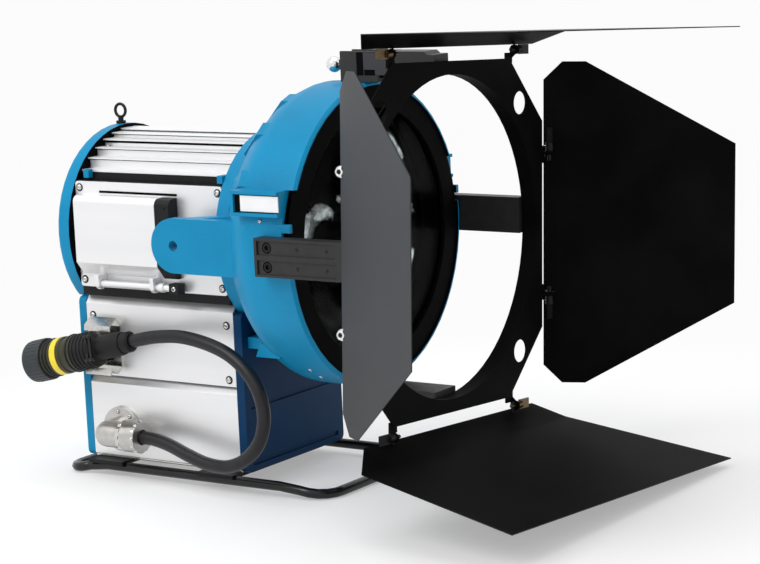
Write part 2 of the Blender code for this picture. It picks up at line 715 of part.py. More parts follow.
def make_focus_rod(lamp, aluminium):
    """Adjusting rod below the cover, with a collar and a square end for a pole tool."""
    axis_x = rod_axis_x()
    start, end = COVER_FRONT_Y - 16 * MM, COVER_BACK_Y - 24 * MM
    axis = lamp.empty("focus", lamp.root, Matrix.Translation((axis_x, start, ROD_Z)))
    bar = rod("focus_rod", (axis_x, start, ROD_Z), (axis_x, end, ROD_Z), ROD_RADIUS, 16)
    collar = rod("collar", (axis_x, start + 12 * MM, ROD_Z), (axis_x, start + 20 * MM, ROD_Z),
                 ROD_RADIUS + 1.5 * MM, 16)
    half = ROD_SQUARE / 2
    square = block("square", (axis_x - half, start - 14 * MM, ROD_Z - half),
                   (axis_x + half, start + 1 * MM, ROD_Z + half))
    lamp.add(smooth(unite(bar, collar, square)), aluminium, axis)


def box_plate(name, low_y, high_y, top_z, lamp, blue):
    corners = [(-BOX_HALF_WIDTH, BOX_BOTTOM_Z), (BOX_HALF_WIDTH, BOX_BOTTOM_Z),
               (BOX_HALF_WIDTH, top_z), (-BOX_HALF_WIDTH, top_z)]
    plate = prism(name, rounded(corners, 8 * MM), "Y", low_y, high_y)
    if low_y < NECK_Y:
        scoop = neck_radius_at(low_y) + 1 * MM
        carve(plate, rod("scoop", (0, low_y - 0.01, 0), (0, high_y + 0.01, 0), scoop, 96))
        front_recesses(plate)
    lamp.add(smooth(plate), blue)


def neck_radius_at(y):
    """Outer radius of the front casting at one place along the beam."""
    profile = housing_outline()
    for (r0, y0), (r1, y1) in zip(profile, profile[1:]):
        if y0 <= y <= y1:
            return r0 + (r1 - r0) * (y - y0) / (y1 - y0)
    return NECK_RADIUS


def front_recesses(plate):
    """Two sunk bands across the front plate."""
    half = BOX_HALF_WIDTH - BOX_PLATE_THICKNESS
    for drop in FRONT_BAND_DROPS:
        z = BOX_TOP_Z - drop
        band = block("band", (-half, BOX_FRONT_Y - FRONT_BAND_DEPTH, z - FRONT_BAND_HALF),
                     (half, BOX_FRONT_Y + FRONT_BAND_DEPTH, z + FRONT_BAND_HALF))
        carve(plate, band)


def sheet_panel(name, bottom, top, side, lamp, aluminium):
    """Side sheet of the box with its top edge folded inwards."""
    x = BOX_HALF_WIDTH
    fold_z = top - BOX_FOLD
    outline = [(x, bottom), (x, fold_z), (x - BOX_FOLD_IN, top), (x - BOX_FOLD_IN - BOX_SHEET, top),
               (x - BOX_SHEET, fold_z - 1 * MM), (x - BOX_SHEET, bottom)]
    outline = [(side * a, b) for a, b in outline]
    low, high = BOX_FRONT_Y + BOX_PLATE_THICKNESS + SEAT_GAP, REAR_PLATE_Y - SEAT_GAP
    lamp.add(prism(name, outline, "Y", low, high), aluminium)


def make_box(lamp, blue, aluminium, steel, resin):
    box_plate("box_front_plate", BOX_FRONT_Y, BOX_FRONT_Y + BOX_PLATE_THICKNESS,
              BOX_TOP_Z - 8 * MM, lamp, blue)
    box_plate("box_rear_plate", REAR_PLATE_Y, REAR_PLATE_Y + BOX_PLATE_THICKNESS,
              BOX_TOP_Z - 1.3 * MM, lamp, blue)
    for side, word in ((-1, "left"), (1, "right")):
        sheet_panel(f"box_panel_upper_{word}", BOX_TIER_Z + 1.5 * MM, BOX_TOP_Z, side, lamp, aluminium)
        sheet_panel(f"box_panel_lower_{word}", BOX_BOTTOM_Z + 4 * MM, BOX_TIER_Z, side, lamp, aluminium)
    low, high = BOX_FRONT_Y + BOX_PLATE_THICKNESS + SEAT_GAP, REAR_PLATE_Y - SEAT_GAP
    half = BOX_HALF_WIDTH - BOX_SHEET - SEAT_GAP
    floor = block("box_floor", (-half, low, BOX_BOTTOM_Z),
                  (half, high, BOX_BOTTOM_Z + BOX_FLOOR_THICKNESS))
    lamp.add(floor, steel)
    ignitor_base = BOX_BOTTOM_Z + BOX_FLOOR_THICKNESS + SEAT_GAP
    ignitor = block("ignitor", (-IGNITOR_HALF_WIDTH, low + IGNITOR_FRONT_ROOM, ignitor_base),
                    (IGNITOR_HALF_WIDTH, high - IGNITOR_BACK_ROOM, ignitor_base + IGNITOR_HEIGHT))
    lamp.add(ignitor, resin)


def skid_high_z():
    """Centre height of the runs, which pass under the clamp bars."""
    return BOX_BOTTOM_Z - 2 * SEAT_GAP - CLAMP_SKIN - SKID_TUBE_RADIUS


def ground_z():
    """The flat underside of the dipped cross tubes, where the lamp stands."""
    return skid_high_z() - SKID_DIP - SKID_TUBE_RADIUS + SKID_FLAT


def skid_route():
    """Centre line of the bent tube: a loop whose ends dip to the ground and flare at the rear."""
    wide = SKID_HALF_WIDTH + SKID_REAR_FLARE
    flare_y = CLAMP_REAR_Y + CLAMP_LENGTH / 2 + 6 * MM
    plan = [(-SKID_HALF_WIDTH, SKID_FRONT_Y), (SKID_HALF_WIDTH, SKID_FRONT_Y),
            (SKID_HALF_WIDTH, flare_y), (wide, SKID_BACK_Y), (-wide, SKID_BACK_Y),
            (-SKID_HALF_WIDTH, flare_y)]
    flare = SKID_CORNER / 6
    corner = SKID_CORNER / 2
    loop = rounded(plan, [SKID_CORNER, SKID_CORNER, flare, corner, corner, flare], 5)
    points = []
    for i, (x, y) in enumerate(loop):
        nx, ny = loop[(i + 1) % len(loop)]
        pieces = max(1, round(math.hypot(nx - x, ny - y) / SKID_STEP))
        for piece in range(pieces):
            share = piece / pieces
            px, py = x + (nx - x) * share, y + (ny - y) * share
            reach = min(py - SKID_FRONT_Y, SKID_BACK_Y - py) / SKID_DIP_RUN
            lift = min(1.0, max(0.0, reach))
            drop = SKID_DIP * (0.5 + 0.5 * math.cos(math.pi * lift))
            points.append((px, py, skid_high_z() - drop))
    return points


def make_skid(lamp, black):
    route = skid_route()
    curve = bpy.data.curves.new("skid", "CURVE")
    curve.dimensions = "3D"
    spline = curve.splines.new("POLY")
    spline.points.add(len(route) - 1)
    for point, place in zip(spline.points, route):
        point.co = (*place, 1)
    spline.use_cyclic_u = True
    curve.bevel_depth = SKID_TUBE_RADIUS
    curve.bevel_resolution = 2
    tube = bpy.data.objects.new("skid_curve", curve)
    bpy.context.collection.objects.link(tube)
    bpy.context.view_layer.update()
    graph = bpy.context.evaluated_depsgraph_get()
    mesh = bpy.data.meshes.new_from_object(tube.evaluated_get(graph))
    bpy.data.objects.remove(tube, do_unlink=True)
    skid = bpy.data.objects.new("skid", mesh)
    bpy.context.collection.objects.link(skid)
    floor_cut = block("floor_cut", (-0.3, 0, ground_z() - 0.02), (0.3, 0.7, ground_z()))
    carve(skid, floor_cut)
    lamp.add(smooth(skid, 50), black)
    top = BOX_BOTTOM_Z - SEAT_GAP
    for name, y in (("skid_clamp_front", CLAMP_FRONT_Y), ("skid_clamp_rear", CLAMP_REAR_Y)):
        half = SKID_HALF_WIDTH + SKID_TUBE_RADIUS + 3 * MM
        plate = block(name, (-half, y - CLAMP_LENGTH / 2, top - CLAMP_PLATE),
                      (half, y + CLAMP_LENGTH / 2, top))
        for x in (-SKID_HALF_WIDTH, SKID_HALF_WIDTH):
            groove = rod("groove", (x, y - CLAMP_LENGTH, skid_high_z()),
                         (x, y + CLAMP_LENGTH, skid_high_z()), SKID_TUBE_RADIUS + SEAT_GAP, 24)
            carve(plate, groove)
        lamp.add(smooth(plate), black)


def make_eye_bolt(lamp, black):
    y = REAR_PLATE_Y + REAR_PLATE_THICKNESS / 2
    base = REAR_PLATE_RADIUS + SEAT_GAP
    eye_radius, wire = 8.5 * MM, 2 * MM
    centre = base + 6 * MM + eye_radius + wire
    profile = [(eye_radius + wire * math.cos(math.radians(a)), wire * math.sin(math.radians(a)))
               for a in range(0, 360, 36)]
    eye = lathe("eye", profile, 28, axis="X")
    shifted(eye, 0, y, centre)
    collar = rod("eye_bolt", (0, y, base), (0, y, base + 3 * MM), 6.5 * MM, 20)
    neck = rod("neck", (0, y, base + 1 * MM), (0, y, base + 8 * MM), 3.6 * MM, 16)
    lamp.add(smooth(unite(collar, neck, eye)), black)


def slot_bracket(name):
    """Right-hand accessory bracket: seat on the ring, arm forward and a hooked slot.

    It is modelled on the +X side and turned into place.
    """
    seat = RING_RADIUS + SEAT_GAP
    outer = FLANGE_RADIUS + RUNNING_GAP + BRACKET_WALL
    flange_back = DOOR_RING_DEPTH + RUNNING_GAP
    flange_front = DOOR_RING_DEPTH - FLANGE_THICKNESS - RUNNING_GAP
    slot_bottom = FLANGE_RADIUS + RUNNING_GAP
    lip = DOOR_OPENING_RADIUS + DOOR_RING_WALL + 2 * RUNNING_GAP
    outline = [(seat, BRACKET_BACK_Y), (seat, flange_back), (slot_bottom, flange_back),
               (slot_bottom, flange_front), (lip, flange_front), (lip, BRACKET_FRONT_Y),
               (outer, BRACKET_FRONT_Y), (outer, BRACKET_BACK_Y)]
    bracket = prism(name, outline, "Z", -BRACKET_HALF_WIDTH, BRACKET_HALF_WIDTH)
    clear = outer + BRACKET_WALL
    for z in (-CHANNEL_AT, CHANNEL_AT):
        channel = block("channel", (outer - CHANNEL_DEPTH, CHANNEL_FRONT_Y, z - CHANNEL_HALF),
                        (clear, BRACKET_BACK_Y - CHANNEL_END_WALL, z + CHANNEL_HALF))
        carve(bracket, channel)
        y = BRACKET_BACK_Y - WELL_SETBACK
        carve(bracket, rod("well", (outer - WELL_DEPTH, y, z), (clear, y, z), WELL_RADIUS, 20))
        for setback in PIN_HOLE_SETBACKS:
            y = BRACKET_BACK_Y - setback
            carve(bracket, rod("hole", (outer - PIN_HOLE_DEPTH, y, z), (clear, y, z), PIN_HOLE_RADIUS, 16))
    return bracket


def make_brackets(lamp, black):
    for name, turn in (("bracket_right", 0), ("bracket_left", 180), ("bracket_bottom", 90)):
        about_beam = Matrix.Rotation(math.radians(turn), 4, "Y")
        lamp.add(smooth(move(slot_bracket(name), about_beam)), black)


def make_latch(lamp, black, steel):
    """Top bracket: a base on the ring, a hooked lever on a cross pin, and its ball knob."""
    seat = RING_RADIUS + SEAT_GAP
    half, pivot_y, pivot_z = LATCH_HALF_WIDTH, LATCH_PIVOT_Y, LATCH_PIVOT_Z
    front, back = pivot_y - LATCH_BASE_AHEAD, pivot_y + LATCH_BASE_BEHIND
    base = block("latch_base", (-half, front, seat - 4 * CASTING_WALL), (half, back, LATCH_TOP_Z))
    carve(base, lathe("ring", [(0, 0), (seat, 0), (seat, BEYOND), (0, BEYOND)], 192))
    carve(base, block("slot", (-half + LATCH_CHEEK, 0, pivot_z - LATCH_PRESS_ROOM),
                      (half - LATCH_CHEEK, BEYOND, BEYOND)))
    carve(base, block("front", (-BEYOND, 0, 0), (BEYOND, front + 2 * CASTING_WALL + LATCH_CHEEK * 2,
                                                 pivot_z - 2 * LATCH_CHEEK)))
    carve(base, rod("bore", (-BEYOND, pivot_y, pivot_z), (BEYOND, pivot_y, pivot_z),
                    LATCH_PIN_RADIUS + SEAT_GAP, 20))
    lamp.add(smooth(base), black)
    pin = rod("latch_pin", (-half, pivot_y, pivot_z), (half, pivot_y, pivot_z), LATCH_PIN_RADIUS, 20)
    lamp.add(pin, steel)
    body = lamp.empty("latch", lamp.root, Matrix.Translation((0, pivot_y, pivot_z)))
    flange_front = DOOR_RING_DEPTH - FLANGE_THICKNESS - RUNNING_GAP
    lip = DOOR_OPENING_RADIUS + DOOR_RING_WALL + 2 * RUNNING_GAP
    under = FLANGE_RADIUS + 2 * RUNNING_GAP
    tail = pivot_y + LATCH_TAIL_LENGTH
    hook_top = LATCH_TOP_Z - 4 * MM
    side = [(BRACKET_FRONT_Y, lip), (flange_front, lip), (flange_front, under),
            (front - 2 * MM, pivot_z - 6 * MM), (tail, pivot_z - 10 * MM),
            (tail, pivot_z + 2 * MM), (pivot_y + 18 * MM, pivot_z + 7 * MM),
            (front - 2 * MM, LATCH_TOP_Z), (flange_front + 5 * MM, LATCH_TOP_Z), (flange_front, hook_top),
            (BRACKET_FRONT_Y, hook_top)]
    inner_half = half - LATCH_CHEEK - RUNNING_GAP
    lever = prism("latch_lever", side, "X", -half, half)
    for sign in (-1, 1):
        low, high = sorted((sign * inner_half, sign * BEYOND))
        carve(lever, block("shoulder", (low, front - 5 * RUNNING_GAP, 0), (high, BEYOND, BEYOND)))
    carve(lever, rod("bore", (-BEYOND, pivot_y, pivot_z), (BEYOND, pivot_y, pivot_z),
                     LATCH_PIN_RADIUS + SEAT_GAP, 20))
    lamp.add(smooth(lever), black, body)
    radius = LATCH_KNOB_RADIUS
    ball_y = tail + radius + 4 * MM
    ball = [(0, tail + SEAT_GAP), (LATCH_PIN_RADIUS, tail + SEAT_GAP)]
    ball += [(radius * math.sin(math.radians(a)), ball_y - radius * math.cos(math.radians(a)))
             for a in range(20, 180, 16)]
    ball.append((0, ball_y + radius))
    lamp.add(shifted(lathe("latch_knob", ball, 24), 0, 0, pivot_z - 4.5 * MM), steel, body)


def make_optics(lamp, glass, silver, ceramic, black, steel):
    disc = [(0, GLASS_Y), (GLASS_RADIUS, GLASS_Y), (GLASS_RADIUS, GLASS_Y + GLASS_THICKNESS),
            (0, GLASS_Y + GLASS_THICKNESS)]
    lamp.add(lathe("front_glass", disc), glass)
    inside = GLASS_RADIUS - RETAINER_WIDTH
    outside = RING_RADIUS - CASTING_WALL - 2 * SEAT_GAP
    front = GLASS_Y - SEAT_GAP
    ring = [(inside, front - RETAINER_THICKNESS), (outside, front - RETAINER_THICKNESS), (outside, front),
            (inside, front)]
    lamp.add(lathe("glass_retainer", ring), black)
    make_reflector(lamp, silver)
    make_lamp_carriage(lamp, glass, ceramic, black, steel)


def reflector_apex():
    """The parabola's apex, from the mouth's place and radius."""
    return REFLECTOR_MOUTH_Y + REFLECTOR_MOUTH_RADIUS ** 2 / (4 * REFLECTOR_FOCAL)


def make_reflector(lamp, silver):
    """Parabolic bowl carried by a flange in the casting's glass seat."""
    steps = 6
    apex = reflector_apex()
    inner = []
    for step in range(steps + 1):
        narrowing = (REFLECTOR_MOUTH_RADIUS - REFLECTOR_THROAT_RADIUS) * step / steps
        radius = REFLECTOR_MOUTH_RADIUS - narrowing
        share = (radius / REFLECTOR_MOUTH_RADIUS) ** 2
        y = apex - (apex - REFLECTOR_MOUTH_Y) * share
        inner.append((radius, y))
    outer = [(r + REFLECTOR_WALL, y + REFLECTOR_WALL) for r, y in reversed(inner)]
    flange = REFLECTOR_SEAT_Y + SEAT_THICKNESS + SEAT_GAP
    edge = GLASS_RADIUS - SEAT_OVERLAP + REFLECTOR_WALL
    rim = [(edge, flange + REFLECTOR_WALL), (edge, flange), (REFLECTOR_MOUTH_RADIUS, flange)]
    bowl = lathe("reflector", inner + outer + rim, 40)
    lamp.add(bowl, silver)


def make_lamp_carriage(lamp, glass, ceramic, black, steel):
    """Lamp and holder on a carriage that slides along two guide rods."""
    back = REAR_PLATE_Y - SEAT_GAP
    bar = GUIDE_BAR_HALF
    guide = block("carriage_guide", (-GUIDE_ROD_AT - bar, back - GUIDE_BAR_THICKNESS, -bar),
                  (GUIDE_ROD_AT + bar, back, bar))
    for sign in (-1, 1):
        x = sign * GUIDE_ROD_AT
        unite(guide, rod("guide", (x, back - GUIDE_ROD_LENGTH, 0), (x, back - GUIDE_BAR_THICKNESS / 2, 0),
                         GUIDE_ROD_RADIUS, 16))
    lamp.add(smooth(guide), steel)
    front, behind = CARRIAGE_Y, CARRIAGE_Y + CARRIAGE_THICKNESS
    slide = lamp.empty("lamp_slide", lamp.root, Matrix.Translation((0, (front + behind) / 2, 0)))
    half, tall = GUIDE_ROD_AT + bar, CARRIAGE_HALF_HEIGHT
    plate = prism("lamp_carriage", rounded([(-half, -tall), (half, -tall), (half, tall), (-half, tall)],
                                           tall / 3), "Y", front, behind)
    for sign in (-1, 1):
        x = sign * GUIDE_ROD_AT
        carve(plate, rod("bore", (x, front - bar, 0), (x, behind + bar, 0), GUIDE_ROD_RADIUS + SEAT_GAP, 20))
    lamp.add(smooth(plate), black, slide)
    base_back = front - SEAT_GAP
    base_front = base_back - LAMP_BASE_LENGTH
    socket = LAMP_BASE_SOCKET_RADIUS
    floor = base_back - LAMP_BASE_SOCKET_DEPTH
    base = lathe("lamp_base", [(0, base_front), (LAMP_BASE_RADIUS, base_front), (LAMP_BASE_RADIUS, base_back),
                               (socket, base_back), (socket, floor), (0, floor)], 32)
    lamp.add(base, ceramic, slide)
    reach = BULB_TIP_AHEAD
    tip = reflector_apex() - REFLECTOR_FOCAL - reach
    bulb = [(0, tip), (reach * 0.1, tip), (reach * 0.17, tip + reach * 0.2),
            (BULB_RADIUS * 0.8, tip + reach * 0.6), (BULB_RADIUS, tip + reach),
            (BULB_RADIUS * 0.8, tip + reach * 1.4), (BULB_STEM_RADIUS, tip + reach * 1.8),
            (BULB_STEM_RADIUS, base_front - SEAT_GAP), (0, base_front - SEAT_GAP)]
    lamp.add(lathe("lamp_bulb", bulb, 32), glass, slide)


def octagon(half, cut):
    near = half - cut
    return [(near, half), (half, near), (half, -near), (near, -half),
            (-near, -half), (-half, -near), (-half, near), (-near, half)]


def make_barn_door(lamp, black, steel):
    """Cut-corner plate, its turning ring, the hinge ears and their bolts."""
    turned = Matrix.Rotation(BARN_DOOR_TURN, 4, "Y")
    body = lamp.empty("barn_door", lamp.root, turned)
    plate = prism("barn_door_frame", octagon(PLATE_HALF, PLATE_CUT), "Y", 0, PLATE_THICKNESS)
    carve(plate, rod("opening", (0, -0.01, 0), (0, 0.01, 0), DOOR_OPENING_RADIUS, DOOR_STEPS))
    for x in (-1, 1):
        for z in (-1, 1):
            hole = rod("hole", (x * PLATE_HOLE_AT, -0.01, z * PLATE_HOLE_AT),
                       (x * PLATE_HOLE_AT, 0.01, z * PLATE_HOLE_AT), PLATE_HOLE_RADIUS, 28)
            carve(plate, hole)
    wall = DOOR_OPENING_RADIUS + DOOR_RING_WALL
    front = PLATE_THICKNESS / 2
    ring = lathe("ring", [
        (DOOR_OPENING_RADIUS, front), (wall, front), (wall, DOOR_RING_DEPTH - FLANGE_THICKNESS),
        (FLANGE_RADIUS, DOOR_RING_DEPTH - FLANGE_THICKNESS), (FLANGE_RADIUS, DOOR_RING_DEPTH),
        (DOOR_OPENING_RADIUS, DOOR_RING_DEPTH)], DOOR_STEPS)
    unite(plate, ring)
    for name, quarter in LEAF_QUARTER.items():
        spin = Matrix.Rotation(math.radians(quarter), 4, "Y")
        at = WIDE_EAR_AT if name in WIDE_LEAVES else SIDE_EAR_AT
        for sign, end in ((-1, "a"), (1, "b")):
            unite(plate, move(hinge_ear(sign * at, sign), spin))
            wing = move(wing_screw(f"wing_screw_{name}_{end}", sign * at, sign), spin)
            lamp.add_local(smooth(wing), steel, body)
    lamp.add_local(smooth(plate), black, body)
    return body


def hinge_ear(at, sign):
    """An angle strip behind the plate whose ear reaches out and forward to the hinge pin."""
    foot_back = PLATE_THICKNESS / 2 + EAR_THICKNESS
    foot_front = PLATE_THICKNESS / 2
    inner, outer = PLATE_HALF - 6 * MM, PLATE_HALF + 7 * MM
    low, high = sorted((at, at - sign * EAR_FOOT_WIDTH))
    foot = block("ear", (low, foot_front, inner), (high, foot_back, outer))
    eye = arc((HINGE_Y, HINGE_RADIUS), HINGE_EYE_RADIUS, 30, 270, 14)
    outline = eye + [(foot_front, PLATE_HALF + SEAT_GAP * 2), (foot_front, inner), (foot_back, inner),
                     (foot_back, outer)]
    low, high = sorted((at, at - sign * EAR_THICKNESS))
    ear = prism("flag", outline, "X", low, high)
    unite(foot, ear)
    pin_hole = rod("hole", (at - 0.02, HINGE_Y, HINGE_RADIUS), (at + 0.02, HINGE_Y, HINGE_RADIUS),
                   HINGE_PIN_RADIUS + SEAT_GAP, 16)
    return carve(foot, pin_hole)


def wing_screw(name, at, sign):
    """Hinge pin with a hub and two wings on the outboard side of its ear."""
    hub = rod(name, (at + sign * SEAT_GAP, HINGE_Y, HINGE_RADIUS),
              (at + sign * 11 * MM, HINGE_Y, HINGE_RADIUS), 5 * MM, 12)
    pin = rod("pin", (at - sign * 12 * MM, HINGE_Y, HINGE_RADIUS),
              (at + sign * 2 * MM, HINGE_Y, HINGE_RADIUS), HINGE_PIN_RADIUS, 12)
    low, high = sorted((at + sign * 7 * MM, at + sign * WING_REACH))
    wing = block("wing", (low, HINGE_Y - 1.2 * MM, HINGE_RADIUS - WING_HALF),
                 (high, HINGE_Y + 1.2 * MM, HINGE_RADIUS + WING_HALF))
    return unite(hub, pin, wing)


def leaf_frame(name, door):
    """World matrix of a leaf's hinge: local +X is the pin, -Z the closed leaf, -Y its outer face."""
    spin = Matrix.Rotation(math.radians(LEAF_QUARTER[name]), 4, "Y")
    swing = Matrix.Rotation(-math.radians(LEAF_OPEN[name]), 4, "X")
    return door.matrix_world @ spin @ Matrix.Translation((0, HINGE_Y, HINGE_RADIUS)) @ swing


def bent_sheet(name, stations, thickness):
    """A sheet through (half width, along, out) stations; along is -Z and out is -Y."""
    count = len(stations)
    normals = []
    for i in range(count):
        before = stations[max(i - 1, 0)]
        after = stations[min(i + 1, count - 1)]
        run = Vector((after[1] - before[1], after[2] - before[2])).normalized()
        normals.append(Vector((-run.y, run.x)))
    verts = []
    for (half, along, out), normal in zip(stations, normals):
        for u in (-half, half):
            for shift in (0, thickness):
                a, n = along + normal.x * shift, out + normal.y * shift
                verts.append((u, -n, -a))
    faces = []
    for i in range(count - 1):
        a, b = 4 * i, 4 * i + 4
        faces += [(a, a + 2, b + 2, b), (a + 1, b + 1, b + 3, a + 3),
                  (a, b, b + 1, a + 1), (a + 2, a + 3, b + 3, b + 2)]
    end = 4 * (count - 1)
    faces += [(0, 1, 3, 2), (end, end + 2, end + 3, end + 1)]
    return mesh_object(name, verts, faces)


def leaf_lug(at, sign, reach):
    """Eye on the leaf, just inboard of the barn-door ear."""
    side = at - sign * (EAR_THICKNESS + SEAT_GAP)
    low, high = sorted((side, side - sign * 2 * MM))
    eye = arc((0, 0), HINGE_EYE_RADIUS, 0, 180, 10)
    outline = [(HINGE_EYE_RADIUS * 0.7, 0)] + eye[2:] + [
        (-reach[1], 5 * MM), (-reach[1], -reach[0]), (0, -reach[0] * 0.6)]
    lug = prism("lug", outline, "X", low, high)
    hole = rod("hole", (at - 0.02, 0, 0), (at + 0.02, 0, 0), HINGE_PIN_RADIUS + SEAT_GAP, 16)
    return carve(lug, hole)


def side_leaf(name):
    start = -SIDE_LEAF_OFFSET
    stations = [(SIDE_LEAF_HINGE_HALF, start, SIDE_LEAF_OFFSET),
                (SIDE_LEAF_WIDE_HALF, start + 24 * MM, SIDE_LEAF_OFFSET),
                (SIDE_LEAF_WIDE_HALF, start + 54 * MM, SIDE_LEAF_OFFSET),
                (SIDE_LEAF_TIP_HALF, start + SIDE_LEAF_LENGTH, SIDE_LEAF_OFFSET)]
    leaf = bent_sheet(name, stations, LEAF_SHEET)
    for sign in (-1, 1):
        unite(leaf, leaf_lug(sign * SIDE_EAR_AT, sign, (8 * MM, SIDE_LEAF_OFFSET + LEAF_SHEET / 2)))
    return leaf


def wide_leaf(name):
    start_along, start_out = -6 * MM, 6 * MM
    bend_along = start_along + WIDE_LEAF_FLANGE * math.cos(FLANGE_BEND)
    bend_out = start_out + WIDE_LEAF_FLANGE * math.sin(FLANGE_BEND)
    stations = [(WIDE_LEAF_HINGE_HALF, start_along, start_out),
                (WIDE_LEAF_BEND_HALF, bend_along, bend_out),
                (WIDE_LEAF_TIP_HALF, bend_along + WIDE_LEAF_LENGTH, bend_out)]
    leaf = bent_sheet(name, stations, LEAF_SHEET)
    for sign in (-1, 1):
        unite(leaf, leaf_lug(sign * WIDE_EAR_AT, sign, (1 * MM, 9 * MM)))
    return leaf


def make_leaves(lamp, door, black):
    for name in LEAF_QUARTER:
        body = lamp.empty(f"leaf_{name}_hinge", door, leaf_frame(name, door))
        maker = wide_leaf if name in WIDE_LEAVES else side_leaf
        lamp.add_local(smooth(maker(f"leaf_{name}")), black, body)


def make_gland(lamp, nickel):
    """Round flange, right-angle body and clamping nut for the cable."""
    face = BOX_HALF_WIDTH + SEAT_GAP
    flange = rod("gland_flange", (-face, GLAND_Y, GLAND_Z), (-face - 4 * MM, GLAND_Y, GLAND_Z),
                 GLAND_FLANGE_RADIUS, 40)
    lamp.add(flange, nickel)
    axis_x = -(BOX_HALF_WIDTH + GLAND_STAND_OFF)
    radius = GLAND_BODY_RADIUS
    mouth_y = CABLE_ROUTE[0][1]
    nut_back = mouth_y + 26 * MM
    start = -face - 4 * MM - SEAT_GAP
    stub = rod("gland_elbow", (start, GLAND_Y, GLAND_Z), (axis_x, GLAND_Y, GLAND_Z), radius, 28)
    barrel = rod("barrel", (axis_x, GLAND_Y, GLAND_Z), (axis_x, nut_back + SEAT_GAP, GLAND_Z), radius, 28)
    dome = [(radius * math.cos(math.radians(a)), radius * math.sin(math.radians(a)))
            for a in range(0, 90, 15)] + [(0, radius), (0, 0)]
    ball = shifted(lathe("ball", dome, 28), axis_x, GLAND_Y, GLAND_Z)
    lamp.add(smooth(unite(stub, barrel, ball)), nickel)
    bore = CABLE_DIAMETER / 2 + 1.5 * MM
    flutes = 16
    outline = []
    for i in range(flutes * 2):
        reach = GLAND_NUT_RADIUS - (0.8 * MM if i % 2 else 0)
        angle = 2 * math.pi * i / (flutes * 2)
        outline.append((axis_x + reach * math.cos(angle), GLAND_Z + reach * math.sin(angle)))
    nut = prism("gland_nut", outline, "Y", mouth_y + 2 * MM, nut_back)
    carve(nut, rod("bore", (axis_x, mouth_y - 0.01, GLAND_Z), (axis_x, mouth_y + 14 * MM, GLAND_Z),
                   bore, 28))
    seal = rod("seal", (axis_x, mouth_y + SEAT_GAP, GLAND_Z), (axis_x, mouth_y + 16 * MM, GLAND_Z),
               CABLE_DIAMETER / 2 - 1 * MM, 20)
    unite(nut, seal)
    lamp.add(smooth(nut), nickel)


def smooth_route(points, spacing):
    """Points at an even spacing along a smooth curve through the route's own points."""
    places = [Vector(p) for p in points]
    fine = []
    for i in range(len(places) - 1):
        before = places[max(i - 1, 0)]
        after = places[min(i + 2, len(places) - 1)]
        start, end = places[i], places[i + 1]
        for step in range(24):
            t = step / 24
            a, b, c, d = 2 * start, end - before, 2 * before - 5 * start + 4 * end - after, \
                3 * start - before - 3 * end + after
            fine.append((a + b * t + c * t * t + d * t * t * t) / 2)
    fine.append(places[-1])
    length = sum((b - a).length for a, b in zip(fine, fine[1:]))
    count = max(2, round(length / spacing))
    result = [fine[0]]
    walked = 0.0
    for a, b in zip(fine, fine[1:]):
        walked += (b - a).length
        if walked >= length * len(result) / count and len(result) < count:
            result.append(b)
    result.append(fine[-1])
    return result


def make_cable(lamp, rubber):
    route = smooth_route(CABLE_ROUTE, CABLE_DIAMETER * 1.0)
    curve = bpy.data.curves.new("head_cable", "CURVE")
    curve.dimensions = "3D"
    spline = curve.splines.new("POLY")
    spline.points.add(len(route) - 1)
    for point, place in zip(spline.points, route):
        point.co = (*place, 1)
    curve.bevel_depth = CABLE_DIAMETER / 2
    curve.bevel_resolution = 3
    curve.use_fill_caps = True
    curve.materials.append(rubber)
    cable = bpy.data.objects.new("head_cable", curve)
    bpy.context.collection.objects.link(cable)
    cable.parent = lamp.root
    lamp.nodes.append(cable)


def connector_piece(name, profile, steps=40):
    """A turned piece on the connector's axis; distances run from the cable end."""
    return aimed(lathe(name, profile, steps), CONNECTOR_START, CONNECTOR_END)


